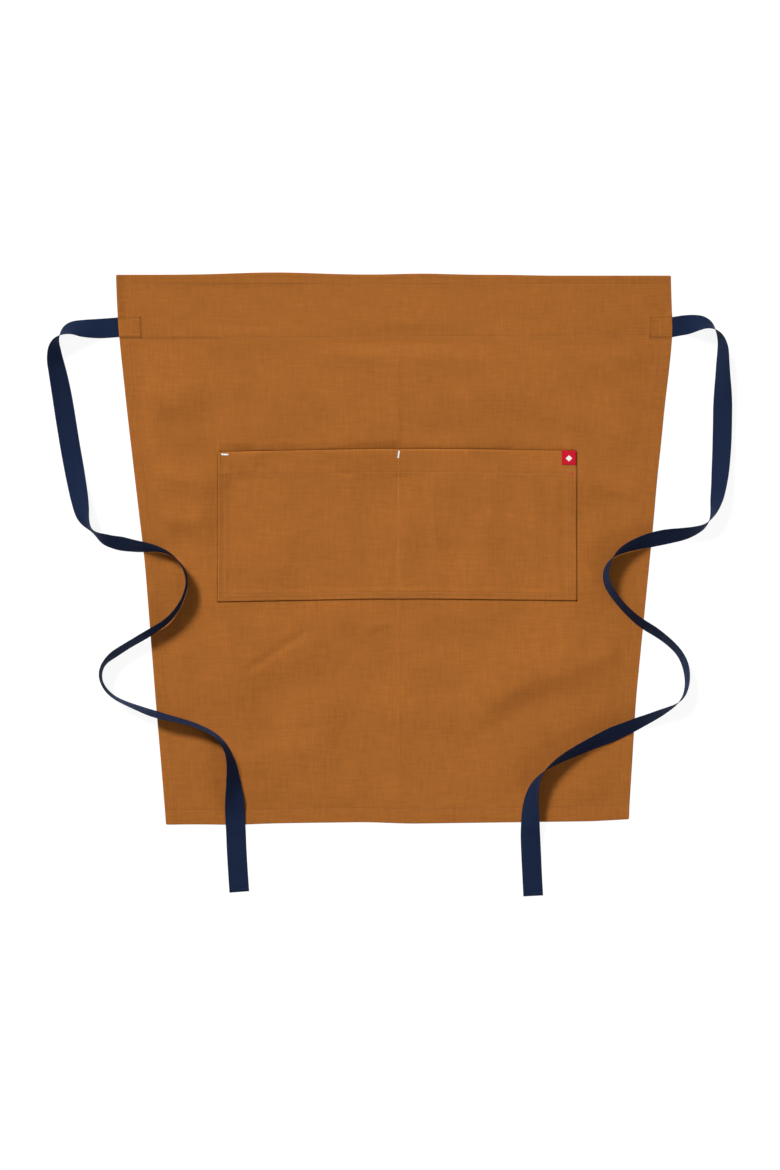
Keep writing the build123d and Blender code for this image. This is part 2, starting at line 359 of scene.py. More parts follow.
# %% The outline, as (y, x) for the sides
left_side = [(-0.355, -0.2943), (-0.200, -0.3077), (-0.015, -0.3222), (0.030, -0.3277), (0.165, -0.3436),
             (0.267, -0.3545), (0.305, -0.3573), (0.352, -0.3592)]
right_side = [(-0.348, 0.2998), (-0.195, 0.3088), (0.037, 0.3318), (0.085, 0.3358), (0.139, 0.3417),
              (0.185, 0.3461), (0.232, 0.3520), (0.270, 0.3562), (0.352, 0.3537)]


def left_edge(y):
    """X of the cloth's left edge."""
    return through(y, left_side, 0.020)


def right_edge(y):
    """X of the cloth's right edge."""
    return through(y, right_side, 0.020)


def foot_line(x):
    """The foot's edge: slightly askew, and hanging a little lower right of the middle."""
    lower = 0.0027 * ease((x + 0.05) / 0.08) * ease((0.33 - x) / 0.09)
    return foot_edge + 0.0005 + 0.0039 * x / 0.3 - lower - 0.0012 * np.exp(-((x + 0.205) / 0.035) ** 2)


def top_line(x):
    """The waistband's upper edge, with two shallow bulges and a slight fall at its right."""
    bulges = 0.0030 * np.exp(-((x + 0.155) / 0.075) ** 2) + 0.0015 * np.exp(-((x - 0.035) / 0.045) ** 2)
    return top_edge + bulges - 0.0011 * ease((x - 0.13) / 0.08)


def side_depth(x, y):
    """Distance in from the nearer side edge."""
    return np.minimum(x - left_edge(y), right_edge(y) - x)


def inside(x, y):
    """How far a point lies inside the cloth's outline, negative outside it."""
    return np.minimum(side_depth(x, y), np.minimum(y - foot_line(x), top_line(x) - y))


# %% [markdown]
# ### Creases and swells
#
# Each crease is a soft ridge from one point to another. Its numbers are its half width, its height and
# the half width of the side on the right of that way, so that one side can be steeper than the other. A
# negative height makes a dent. Waves with seeded places and directions stand for all the swells that
# are too slight to be listed.

# %% Creases and swells
creases = [
    ((-0.1830, -0.1530), (-0.1200, -0.1110), 0.0042, -0.0016, 0.0042),
    ((-0.1900, -0.1600), (-0.1300, -0.1450), 0.0300, 0.0022, 0.0400),
    ((-0.0405, -0.1050), (-0.0110, -0.0940), 0.0050, 0.0010, 0.0050),
    ((0.0170, -0.1000), (0.0370, -0.0990), 0.0040, 0.0009, 0.0040),
    ((0.0380, 0.2610), (0.0510, 0.2620), 0.0035, 0.0009, 0.0035),
    ((-0.3180, 0.1970), (-0.2840, 0.1820), 0.0220, 0.0030, 0.0130),
    ((-0.2840, 0.0930), (-0.2540, 0.0830), 0.0180, 0.0022, 0.0120),
    ((-0.3070, 0.0360), (-0.2600, 0.0350), 0.0180, 0.0022, 0.0120),
    ((-0.2480, 0.0690), (-0.2480, 0.0110), 0.0140, 0.0016, 0.0140),
    ((0.2330, 0.1680), (0.2900, 0.1530), 0.0180, 0.0016, 0.0140),
    ((0.2410, 0.0910), (0.3000, 0.0690), 0.0180, 0.0026, 0.0120),
    ((0.1050, -0.2150), (0.1450, -0.1830), 0.0380, 0.0030, 0.0190),
    ((0.1400, -0.1870), (0.2650, -0.1370), 0.0380, 0.0034, 0.0170),
    ((-0.0010, 0.2350), (0.0010, 0.1420), 0.0080, 0.0011, 0.0060),
    ((-0.2150, 0.1290), (-0.1880, 0.1270), 0.0060, -0.0016, 0.0060),
    ((-0.0500, 0.1310), (0.0000, 0.1300), 0.0060, -0.0014, 0.0060),
    ((0.1540, 0.1290), (0.2000, 0.1290), 0.0060, -0.0016, 0.0060),
]
middle_crease_x, middle_crease_rise = 0.0050, 0.00024


def ridge(x, y, start, end, reach, height, steep):
    """A swelling along the line from start to end, steeper on the right of that way."""
    run = np.subtract(end, start)
    length = hypot(*run)
    along = ((x - start[0]) * run[0] + (y - start[1]) * run[1]) / length
    across = ((x - start[0]) * run[1] - (y - start[1]) * run[0]) / length
    beyond = np.maximum(np.maximum(-along, along - length), 0)
    sideways = across / np.where(across > 0, steep, reach)
    return height * np.exp(-sideways ** 2 - (beyond / reach) ** 2)


swell_seed = 11
chance = np.random.default_rng(swell_seed)
long_waves, short_waves = ((14, 60), 0.0150, 14), ((50, 130), 0.0190, 16)
swells = [(chance.uniform(*paces), chance.uniform(0, pi), chance.uniform(0, 2 * pi), slope)
          for paces, slope, count in (long_waves, short_waves) for _ in range(count)]


def undulation(x, y):
    """Low seeded waves, each about a millimetre high or less, and stronger at the left."""
    total = 0.0
    for pace, heading, phase, slope in swells:
        total = total + np.sin(pace * (x * cos(heading) + y * sin(heading)) + phase) * slope / pace
    return total * (1.0 - 0.30 * np.clip(x / half_waist, -1, 1))


# %% Seams that shape the cloth
pocket_draw = 0.0042


def pocket_shift(x):
    """How far the middle seam draws the patch's rows upwards."""
    places = [pocket_left, pocket_divider, pocket_right]
    drawn = np.interp(x, places, [-0.0011, pocket_draw - 0.0011, 0.0004])
    return drawn - 0.0006 * np.exp(-((x - pocket_divider) / 0.020) ** 2)


def beside_mouth(x, y, reach):
    """0 to 1 along the line where the pocket's mouth presses on the panel."""
    within = ease((x - pocket_left + 0.002) / 0.004) * ease((pocket_right + 0.002 - x) / 0.004)
    return within * np.exp(-((y - pocket_mouth - pocket_shift(x) - 0.0006) / reach) ** 2)


def over_tape(x, y):
    """0 to 1 where the waistband passes over a tie's sewn end, with room above it for the tie to swing."""
    swing_room = 0.0034 * (y > tie_y) * ease((0.0120 - side_depth(x, y)) / 0.0050)
    across = ease((half_tape + 0.0024 + swing_room - np.abs(y - tie_y)) / 0.0030)
    return across * ease((tie_sewn_in + 0.0024 - side_depth(x, y)) / 0.0030)


# %% Height of the cloth
on_floor = 0.0007       # the single layer's middle comes hardly lower than this
soft_floor = 0.00016    # and the bend into that limit is this soft
tape_rise = 0.00078     # what a tie inside the waistband adds
seam_dimple = 0.00022   # and how deep a row of stitches pulls the cloth in


def cloth_middle(x, y):
    """Height of the middle of the panel's upper layer."""
    depth = side_depth(x, y)
    above_foot = y - foot_line(x)
    rim = ease((depth - side_hem) / 0.026) * ease((above_foot - foot_hem) / 0.026)
    in_band = ease((y - band_edge - 0.010) / 0.016) * ease((top_line(x) - y - 0.008) / 0.014)
    below_band = ease((band_edge - y) / 0.024)
    loft = 0.0002 * rim * in_band + 0.0012 * below_band * (
        ease((depth - side_hem) / 0.06) * ease((above_foot - foot_hem) / 0.06))
    loose = rim * (0.45 * in_band + below_band)
    crease = middle_crease_rise * np.exp(-((x - middle_crease_x) / 0.0022) ** 2)
    bends = sum(ridge(x, y, *fold) for fold in creases)
    seams = seam_dimple * (
        np.exp(-((depth - side_seam) / 0.0009) ** 2) * ease((band_edge - y) / 0.002)
        + np.exp(-((y - band_seam - band_tilt(x, y)) / 0.0009) ** 2)
        + np.exp(-((y - band_top_seam) / 0.0009) ** 2)
        + np.exp(-((above_foot - (foot_seam - foot_edge)) / 0.0009) ** 2))
    dent = 0.0007 * beside_mouth(x, y, 0.0019) - 0.0005 * beside_mouth(x, y - 0.009, 0.006)
    lying = 2.5 * cloth + loft + loose * (undulation(x, y) + bends) - dent
    lying = on_floor + soft_floor * np.log1p(np.exp((lying - on_floor) / soft_floor))
    return lying + crease * (rim + 0.3) + tape_rise * over_tape(x, y) - seams


def band_tilt(x, y):
    """The band's lower seam climbs slightly to the right."""
    near = np.exp(-((y - band_seam) / 0.035) ** 2)
    return near * 0.0019 * (1 + x / half_waist)


def cloth_top(x, y):
    """Height of the panel's upper face."""
    return cloth_middle(x, y) + cloth / 2


test_x, test_y = np.meshgrid(np.linspace(-0.28, 0.28, 80), np.linspace(-0.32, 0.25, 80))
print(f"the panel's upper face lies from {1000 * cloth_top(test_x, test_y).min():.2f} "
      f"to {1000 * cloth_top(test_x, test_y).max():.2f} mm up")

# %% [markdown]
# ## The ties
#
# Each tie is a fixed length of limp tape. Beside the cloth it lies flat or nearly so; where it turns a
# corner it can't bend in its own plane, so it twists up on edge; and it winds over the cloth standing on
# one edge, leaning to one side or the other. Three things say all of that: the route of its middle line,
# the way its face turns along the route, and the rule that its lower edge rests on what is under it.
#
# The route's points are the control points of one smooth spline, and their heights come from the roll.
# The ribbon is then built as rings of points along the line read back from it, because a flat bevel on
# a curve can't be told how to lean.

# %% Routes of the ties
tie_routes = {
    "left": [
        (-0.3556, 0.2845), (-0.3905, 0.2815), (-0.4212, 0.2830), (-0.4400, 0.2600), (-0.4295, 0.2080),
        (-0.4200, 0.1400), (-0.4090, 0.0800), (-0.3985, 0.0320), (-0.3750, 0.0100), (-0.3330, 0.0028),
        (-0.2950, -0.0010), (-0.2705, -0.0205), (-0.2640, -0.0500), (-0.2830, -0.0870), (-0.3130, -0.1075),
        (-0.3510, -0.1290), (-0.3710, -0.1440), (-0.3780, -0.1575), (-0.3765, -0.1730), (-0.3640, -0.1890),
        (-0.3430, -0.1995), (-0.3050, -0.2135), (-0.2560, -0.2250), (-0.2240, -0.2415), (-0.2095, -0.2680),
        (-0.2065, -0.3080), (-0.2055, -0.3520), (-0.2040, -0.3980), (-0.2008, -0.4417),
    ],
    "right": [
        (0.3556, 0.2845), (0.3810, 0.2895), (0.4050, 0.2870), (0.4195, 0.2660), (0.4190, 0.2320),
        (0.4200, 0.1800), (0.4188, 0.1260), (0.4140, 0.0720), (0.4040, 0.0320), (0.3790, 0.0195),
        (0.3400, 0.0140), (0.3010, 0.0040), (0.2760, -0.0100), (0.2660, -0.0360), (0.2790, -0.0620),
        (0.3080, -0.0920), (0.3450, -0.1145), (0.3690, -0.1390), (0.3750, -0.1700), (0.3675, -0.1960),
        (0.3400, -0.2110), (0.3000, -0.2290), (0.2500, -0.2500), (0.2105, -0.2695), (0.1850, -0.2885),
        (0.1740, -0.3160), (0.1725, -0.3540), (0.1748, -0.4000), (0.1772, -0.4468),
    ],
}

# How each tape's face turns: distance along it, and degrees of roll; 0 and 180 are flat, 90 is on edge.
tie_twists = {
    "left": [
        (0.000, 360), (0.017, 360), (0.025, 356), (0.038, 345), (0.050, 331), (0.060, 320),
        (0.068, 307), (0.078, 282), (0.086, 262), (0.095, 242), (0.113, 222), (0.140, 209),
        (0.187, 189), (0.246, 182), (0.290, 162),
        (0.312, 145), (0.326, 118), (0.336, 98), (0.345, 105), (0.355, 124), (0.378, 136), (0.405, 122),
        (0.425, 107), (0.441, 99), (0.459, 93), (0.474, 90), (0.487, 91), (0.510, 88), (0.528, 82),
        (0.560, 74), (0.580, 71), (0.600, 73), (0.627, 72), (0.643, 84), (0.654, 89), (0.668, 92),
        (0.688, 89), (0.707, 86), (0.749, 75), (0.781, 81), (0.812, 84), (0.838, 85), (0.860, 79),
        (0.882, 62), (0.905, 45), (0.933, 12), (0.955, 0), (1.050, 0),
    ],
    "right": [
        (0.000, 0), (0.016, 0), (0.024, 14), (0.034, 30), (0.042, 44), (0.050, 60), (0.058, 80),
        (0.068, 96), (0.084, 113), (0.105, 122), (0.120, 128), (0.145, 145), (0.159, 152), (0.199, 152),
        (0.240, 142), (0.278, 121), (0.292, 104), (0.305, 86), (0.323, 70), (0.343, 53), (0.369, 41),
        (0.387, 42), (0.407, 54), (0.426, 66), (0.441, 83), (0.453, 95), (0.468, 101), (0.483, 105),
        (0.504, 104), (0.530, 107), (0.559, 114), (0.582, 108), (0.604, 104), (0.629, 101), (0.641, 97),
        (0.657, 91), (0.674, 84), (0.690, 73), (0.706, 62), (0.722, 55), (0.739, 46), (0.773, 36),
        (0.815, 51), (0.848, 65), (0.868, 80), (0.883, 96), (0.900, 119), (0.916, 134), (0.938, 152),
        (0.969, 172), (1.000, 180), (1.040, 180),
    ],
}


# %% Reading a smooth line from a route
points_per_span = 24


def smooth_line(name, points):
    """Points along a smooth spline whose control points are the route's points."""
    curve = bpy.data.curves.new(name, "CURVE")
    curve.dimensions = "3D"
    curve.resolution_u = points_per_span
    spline = curve.splines.new("NURBS")
    spline.points.add(len(points) - 1)
    for control, point in zip(spline.points, points):
        control.co = (*point, 1.0)
    spline.order_u = 3
    spline.use_endpoint_u = True
    holder = bpy.data.objects.new(name, curve)
    read = bpy.data.meshes.new_from_object(holder)
    line = np.array([corner.co for corner in read.vertices], dtype=float)
    bpy.data.objects.remove(holder)
    bpy.data.meshes.remove(read)
    return line


def distances(line):
    """Distance along a line, point by point."""
    steps = np.linalg.norm(np.diff(line, axis=0), axis=1)
    return np.concatenate([[0.0], np.cumsum(steps)])


def smoothed(values, reach):
    """A row of numbers averaged over a few neighbours at each side."""
    weights = np.hanning(2 * reach + 3)[1:-1]
    padded = np.pad(values, reach, mode="edge")
    return np.convolve(padded, weights / weights.sum(), mode="valid")


# %% [markdown]
# ### Building the ribbon
#
# At each step the ribbon has a direction, a level side direction, and a roll about its own middle line.
# Its ring of points is a flat lens with a slightly thicker selvedge. The height is found last: every
# ring is lifted until its lowest edge just clears the cloth or the floor, then neighbouring lifts are
# averaged, so that the tape bridges the cloth's edge smoothly instead of climbing it like a step. Inside
# the waistband the tape lies between two layers of canvas, and it has a round end there to turn on.

# %% Ribbon
ribbon_step = 0.002
floor_gap = 0.00005
slot_height = hinge["tie_left_swing"][2]
ring_across = np.array([1.0, 0.985, 0.94, 0.80, 0.50, 0.0, -0.50, -0.80, -0.94, -0.985, -1.0]) * half_tape
ring_half = np.array([0.35, 0.85, 1.05, 0.92, 0.90, 0.90, 0.90, 0.92, 1.05, 0.85, 0.35]) * tape_thick / 2


def rest_height(x, y):
    """Height of what lies under a point: the cloth, or the floor beside it."""
    return ease(inside(x, y) / 0.003 + 1.0) * np.maximum(cloth_top(x, y), 0.0)


# %% Rings of the ribbon
def face_directions(middle, roll):
    """The ribbon's side and face directions at each point of its middle line."""
    ahead = np.gradient(middle, axis=0)
    ahead /= np.linalg.norm(ahead, axis=1)[:, None]
    level = np.cross((0, 0, 1.0), ahead)
    level /= np.linalg.norm(level, axis=1)[:, None]
    upright = np.cross(ahead, level)
    turn_cos, turn_sin = np.cos(roll)[:, None], np.sin(roll)[:, None]
    return level * turn_cos - upright * turn_sin, upright * turn_cos + level * turn_sin


def ribbon_mesh(name, middle, roll, widths, along, hem_side, hem_from):
    """A closed mesh of rings; past hem_from the tape is folded double, on the side hem_side gives."""
    side, face = face_directions(middle, roll)
    doubled = ease((along - hem_from) / 0.0004) * tape_thick
    corners, places = [], []
    for i in range(len(middle)):
        upper = middle[i] + np.outer(ring_across * widths[i], side[i])
        over = ring_half + doubled[i] * (hem_side > 0)
        under = ring_half + doubled[i] * (hem_side < 0)
        corners.append(upper + np.outer(over, face[i]))
        corners.append((upper - np.outer(under, face[i]))[::-1])
        places.append([(half_tape - a * widths[i], along[i]) for a in ring_across])
        places.append([(half_tape - a * widths[i], along[i]) for a in ring_across[::-1]])
    corners = np.concatenate(corners)
    places = np.concatenate(places)
    ring = 2 * len(ring_across)
    quads = []
    for i in range(len(middle) - 1):
        for j in range(ring):
            a, b = i * ring + j, i * ring + (j + 1) % ring
            quads.append((a, b, b + ring, a + ring))
    quads.append(tuple(range(ring))[::-1])
    quads.append(tuple(range((len(middle) - 1) * ring, len(middle) * ring)))
    mesh = bpy.data.meshes.new(name)
    mesh.from_pydata(corners.tolist(), [], quads)
    layer = mesh.uv_layers.new(name="tape")
    for loop in mesh.loops:
        layer.data[loop.index].uv = places[loop.vertex_index]
    mesh.polygons.foreach_set("use_smooth", [True] * len(mesh.polygons))
    mesh.update()
    return mesh


# %% Making a mesh a piece
def outward(mesh):
    """True if a closed mesh encloses a positive volume."""
    volume = 0.0
    mesh.calc_loop_triangles()
    for triangle in mesh.loop_triangles:
        a, b, c = (mesh.vertices[i].co for i in triangle.vertices)
        volume += a.dot(b.cross(c)) / 6
    return volume > 0


def place(mesh, finish, body, slot, nodes):
    """Make a finished mesh a piece: its finish, the body it rides on and the nodes it stands for."""
    mesh.materials.clear()
    mesh.materials.append(finish)
    piece = bpy.data.objects.new(mesh.name, mesh)
    bpy.context.collection.objects.link(piece)
    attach(piece, body)
    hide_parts(*nodes)
    return piece


# %% Make the ties
hem_length = 0.008
beside_cloth = 0.06          # this much of each tie, from its slot, lies on the floor beside the cloth
tie_lines, tie_ends, tie_pieces = {}, {}, {}
for side_name, hem_side in (("left", -1), ("right", 1)):
    route = tie_routes[side_name]
    twist_at, twist_roll = zip(*tie_twists[side_name])
    run = distances(np.array(route))
    share = run / run[-1] * twist_at[-1]
    heights = []
    for (x, y), s in zip(route, share):
        roll_here = radians(np.interp(s, twist_at, twist_roll))
        lying = half_tape * abs(sin(roll_here)) + tape_thick / 2
        heights.append(float(lying + rest_height(x, y) * (s > beside_cloth)))
    heights[0] = slot_height
    line = smooth_line(f"tie_{side_name}_line", [(x, y, z) for (x, y), z in zip(route, heights)])
    tie_lines[side_name] = line
    length = distances(line)[-1]

    inside_length = half_tape - 0.0002
    start_flat = np.arange(-inside_length, 0, 0.0011)
    free_along = np.linspace(0, length, int(length / ribbon_step))
    along = np.concatenate([start_flat, free_along])
    middle = np.array([np.interp(free_along, distances(line), line[:, k]) for k in range(3)]).T
    heading = line[1] - line[0]
    heading /= np.linalg.norm(heading)
    inner = line[0] + np.outer(start_flat, heading * (1, 1, 0))
    middle = np.concatenate([inner, middle])
    widths = np.ones(len(along))
    rounded = along < 0
    widths[rounded] = np.sqrt(np.maximum(1 - (along[rounded] / half_tape) ** 2, 0.02))
    roll = smoothed(np.radians(np.interp(along, twist_at, twist_roll)), 4)

    side, _ = face_directions(middle, roll)
    lift = np.full(len(along), -1.0)
    for offset in np.linspace(-1, 1, 9) * half_tape:
        point = middle + offset * side
        under = np.where(along < beside_cloth, 0.0, rest_height(point[:, 0], point[:, 1]))
        rise = under + floor_gap - offset * side[:, 2] + tape_thick / 2
        lift = np.maximum(lift, rise)
    lift = smoothed(np.array([lift[max(i - 4, 0):i + 5].max() for i in range(len(lift))]), 5)
    from_slot = ease((along - 0.010) / 0.030)
    middle[:, 2] = slot_height * (1 - from_slot) + lift * from_slot
    hem_from = length - hem_length
    middle[:, 2] += tape_thick * ease((along - hem_from + 0.012) / 0.012)
    mesh = ribbon_mesh(f"tie_{side_name}_tape", middle, roll, widths, along, hem_side, hem_from)
    if not outward(mesh):
        mesh.flip_normals()
    piece = place(mesh, tape, f"tie_{side_name}", "tape", [f"tie_{side_name}"])
    tie_pieces[side_name] = piece
    side, face = face_directions(middle, roll)
    tie_ends[side_name] = (middle, side, face * -hem_side, along, length)
    print(f"tie_{side_name}: {length:.3f} m of tape, {len(mesh.polygons)} faces, "
          f"highest {1000 * max(v.co.z for v in mesh.vertices):.1f} mm")

# %% [markdown]
# ## Sheets
#
# A piece of sewn cloth is best thought of as its middle surface: one grid of points that runs over the
# top, round the folded edge and back underneath. Solidify then gives that surface the thickness of the
# canvas, so a turned hem really has its layers. The grid's lines lie close together at folds and seams
# and further apart between them.

# %% Sheet helper
def spread(start, stop, step):
    """Even places from start to stop, about a step apart, without the two ends."""
    count = max(int(round(abs(stop - start) / step)), 1)
    return list(np.linspace(start, stop, count + 1)[1:-1])


def cloth_sheet(name, grid, keep, wear, thickness=cloth * 0.94):
    """Solid cloth from a grid of middle-surface points; keep says which cells of the grid are cloth."""
    rows, columns, _ = grid.shape
    number = np.arange(rows * columns).reshape(rows, columns)
    quads = np.stack(
        [number[:-1, :-1], number[:-1, 1:], number[1:, 1:], number[1:, :-1]], axis=-1)[keep]
    used = np.unique(quads)
    renumber = np.zeros(rows * columns, dtype=int)
    renumber[used] = np.arange(len(used))
    mesh = bpy.data.meshes.new(name)
    mesh.from_pydata(grid.reshape(-1, 3)[used].tolist(), [], renumber[quads].tolist())
    # The attribute stores wear together with painted shade and painted highlights.
    layer = mesh.attributes.new("wear", "FLOAT", "POINT")
    layer.data.foreach_set("value", wear.reshape(-1)[used].astype(np.float32))
    mesh.polygons.foreach_set("use_smooth", [True] * len(mesh.polygons))
    draft = bpy.data.objects.new(name + "_draft", mesh)
    bpy.context.collection.objects.link(draft)
    solid = draft.modifiers.new("thickness", "SOLIDIFY")
    solid.thickness = thickness
    solid.offset = 0.0
    evaluated = draft.evaluated_get(bpy.context.evaluated_depsgraph_get())
    finished = bpy.data.meshes.new_from_object(evaluated)
    bpy.data.objects.remove(draft)
    bpy.data.meshes.remove(mesh)
    finished.name = name
    return finished


def fold(inset, middle_z, radius, steps, start=-90, stop=90):
    """Points of a rounded fold, as (depth, height), from its lower layer round to its upper one."""
    turns = np.radians(np.linspace(start, stop, steps))
    return [(inset + radius - radius * cos(t), middle_z + radius * sin(t)) for t in turns]


# %% [markdown]
# ## Main panel
#
# The panel is one cut of canvas. Its side and foot hems are turned twice, which leaves three layers along
# the edge and a ridge that shows from the front. At the waistband the edges are turned once over the
# facing. Each edge is described by a short profile, (depth in from the edge, height), for the layers that
# lie underneath; the same number of points serves both kinds of edge, so one changes into the other
# where the hem meets the band. The two hems are mitred where they meet in the lower corners.

# %% Edges of the panel, as (depth, height)
hem_under = (
    [(0.0126, 1.5 * cloth), (0.0142, 1.5 * cloth)]
    + [(side_hem - d, z) for d, z in fold(0, cloth, cloth / 2, 5)][::-1]
    + [(depth, 0.5 * cloth) for depth in (0.0139, 0.0100, 0.0060, 0.0025)]
    + fold(0, 1.5 * cloth, cloth, 8)[:-1]
)
band_under = (
    [(0.0100 - 0.0003 * i, 1.5 * cloth) for i in range(7)]
    + [(depth, 1.5 * cloth) for depth in (0.0078, 0.0058, 0.0038, 0.0018)]
    + fold(0, 2.0 * cloth, cloth / 2, 8)[:-1]
)
hem_under, band_under = np.array(hem_under), np.array(band_under)
under_count = len(hem_under)
foot_under = hem_under * (foot_hem / side_hem, 1)
print(under_count, "points lie under each edge")

# %% [markdown]
# The grid's columns and rows come next. They lie 4 mm apart on plain cloth, and close together wherever
# a seam, a fold, a crease or the pocket's edge bends it.

# %% Columns and rows of the panel
rim_depths = [cloth, 0.0016, 0.0030, 0.0050, 0.0080, 0.0110, 0.0124, 0.0131, side_seam, 0.0147, 0.0154,
              0.0164, 0.0180, 0.0204, 0.0230, 0.0255, 0.0272, 0.0280, 0.0288, 0.0298, 0.0310, 0.0330]
mesh_step = 0.0041
side_shares = np.array(spread(0, 1, mesh_step / 0.085) + [1.0])[:-1]
fine = (-0.0040, -0.0028, -0.0020, -0.0014, -0.0009, -0.0004, 0.0001, 0.0008, 0.0020, 0.0040)
crease_span = (pocket_divider - 0.0045, middle_crease_x + 0.0055)
straight_half = 0.246
straight_columns = np.array(
    [-straight_half] + spread(-straight_half, pocket_left - 0.004, mesh_step)
    + [pocket_left + d for d in fine]
    + spread(pocket_left + 0.004, crease_span[0], mesh_step)
    + [crease_span[0]] + spread(*crease_span, 0.0009) + [crease_span[1]]
    + spread(crease_span[1], pocket_right - 0.004, mesh_step)
    + [pocket_right - d for d in fine[::-1]]
    + spread(pocket_right + 0.004, straight_half, mesh_step) + [straight_half])

foot_depths = [cloth, 0.0016, 0.0030, 0.0060, 0.0100, 0.0140, 0.0160, 0.0168, foot_seam - foot_edge, 0.0182,
               0.0190, 0.0200, 0.0220, 0.0250, 0.0290]
pocket_foot_rows = [pocket_foot + d for d in (-0.0045, 0.0050)]
mouth_rows = [pocket_mouth + d for d in (-0.0040, 0.0120)]
row_places = (
    [foot_edge + depth for depth in foot_depths]
    + spread(foot_edge + foot_depths[-1], pocket_foot_rows[0], mesh_step)
    + [pocket_foot_rows[0]] + spread(*pocket_foot_rows, 0.0008) + [pocket_foot_rows[1]]
    + spread(pocket_foot_rows[1], mouth_rows[0], mesh_step)
    + [mouth_rows[0]] + spread(*mouth_rows, 0.0009) + [mouth_rows[1]]
    + spread(mouth_rows[1], band_edge - 0.008, mesh_step)
    + [band_edge - d for d in (0.008, 0.006, 0.0042, 0.003, 0.002, 0.001, 0.0)]
    + [band_edge + d for d in (0.0015, 0.0026, 0.0033, 0.0040, 0.0047, 0.0054, 0.0065)]
    + spread(band_edge + 0.0065, band_top_seam - 0.0024, 0.0015)
    + [band_top_seam + d for d in (-0.0024, -0.0014, -0.0007, 0.0, 0.0007, 0.0014, 0.0024)]
    + [top_edge - d for d in (0.0065, 0.0052, 0.0040, 0.0030, 0.0020, 0.0012, cloth / 2)]
)
row_places = np.array(row_places)
print(len(row_places), "rows")

# %% [markdown]
# Each row is then laid out: the left edge's under layers, the upper layer from side to side, and the
# right edge's under layers. Near a corner the turnings are drawn in, which mitres them.

# %% Rows of the panel
band_turning = 0.010
narrowest = 0.03             # a mitre keeps this share of its width, so that no faces fall together


def settle_row(x, y):
    """Shift a straight row of the pattern to where the sewn cloth lies."""
    to_foot = ease((foot_edge + 0.09 - y) / 0.09)
    to_top = ease((y - top_edge + 0.05) / 0.05)
    return y + to_foot * (foot_line(x) - foot_edge) + to_top * (top_line(x) - top_edge) + band_tilt(x, y)


def panel_row(y):
    """Across the panel at one row: X, the height of the under layers, and which points are on top."""
    left, right = left_edge(y), right_edge(y)
    turned = float(ease((y - band_edge + 0.004) / 0.0038))
    under = hem_under * (1 - turned) + band_under * turned
    mitre = 1.0
    if y < foot_edge + foot_hem:
        mitre = max((y - foot_edge) / foot_hem, narrowest)
    if y > top_edge - band_turning:
        mitre = max((top_edge - y) / band_turning, narrowest)
    depth = np.where(under[:, 0] > cloth, cloth + (under[:, 0] - cloth) * mitre, under[:, 0])
    depths = np.concatenate([depth, rim_depths])
    inner_left, inner_right = left + rim_depths[-1], right - rim_depths[-1]
    centre = np.concatenate([
        inner_left + side_shares * (-straight_half - inner_left), straight_columns,
        straight_half + side_shares * (inner_right - straight_half)])
    x = np.concatenate([left + depths, centre, (right - depths)[::-1]])
    on_top = np.zeros(len(x), dtype=bool)
    on_top[under_count:-under_count] = True
    z = np.concatenate([under[:, 1], np.zeros(on_top.sum()), under[::-1, 1]])
    return x, z, on_top


main_rows = []
for y in row_places:
    x, z, on_top = panel_row(y)
    laid_y = settle_row(x, np.full(len(x), y))
    raised = tape_rise * over_tape(x, laid_y)
    z = np.where(on_top, cloth_middle(x, laid_y), z + raised)
    main_rows.append(np.stack([x, laid_y, z], axis=-1))
main_rows = np.array(main_rows)

# %% Turnings at the foot and the top
foot_block, top_block = [], []
first, last = main_rows[0], main_rows[-1]
column_depth = side_depth(first[:, 0], first[:, 1])
for depth, z in foot_under:
    row = first.copy()
    mitre = np.clip(column_depth / side_hem, narrowest, 1.0)
    row[:, 1] = foot_line(row[:, 0]) + np.where(depth > cloth, cloth + (depth - cloth) * mitre, depth)
    row[:, 2] = z
    foot_block.append(row)
column_depth = side_depth(last[:, 0], last[:, 1])
for depth, z in band_under[::-1]:
    row = last.copy()
    mitre = np.clip(column_depth / band_turning, narrowest, 1.0)
    turned_in = np.where(depth > cloth / 2, cloth / 2 + (depth - cloth / 2) * mitre, depth)
    row[:, 1] = top_line(row[:, 0]) - turned_in
    row[:, 2] = z
    top_block.append(row)
panel_grid = np.concatenate([foot_block, main_rows, top_block])
cells = np.ones((panel_grid.shape[0] - 1, panel_grid.shape[1] - 1), dtype=bool)
cells[:under_count, :under_count] = False
cells[:under_count, -under_count:] = False
cells[-under_count:, :under_count] = False
cells[-under_count:, -under_count:] = False

# %% [markdown]
# ### Wear and painted shade
#
# Wear and painted shade are one number at each point of the mesh, which the canvas finish adds to its
# brightness. The cloth is lighter along a rubbed fold. Painted shade darkens it along seams and stitch rows,
# painted shadow lies beside and below the pocket, and a painted highlight runs along the pocket's edges.

# %% Wear and painted shade of the panel, and its mesh
gx, gy = panel_grid[..., 0], panel_grid[..., 1]
# Lighter along the cloth's rubbed outer fold.
edge_lightening = np.exp(-(inside(gx, gy) / 0.0012) ** 2)


def near_line(distance, reach=0.0010):
    """1 on a line, fading to 0 over a reach."""
    return np.exp(-(distance / reach) ** 2)
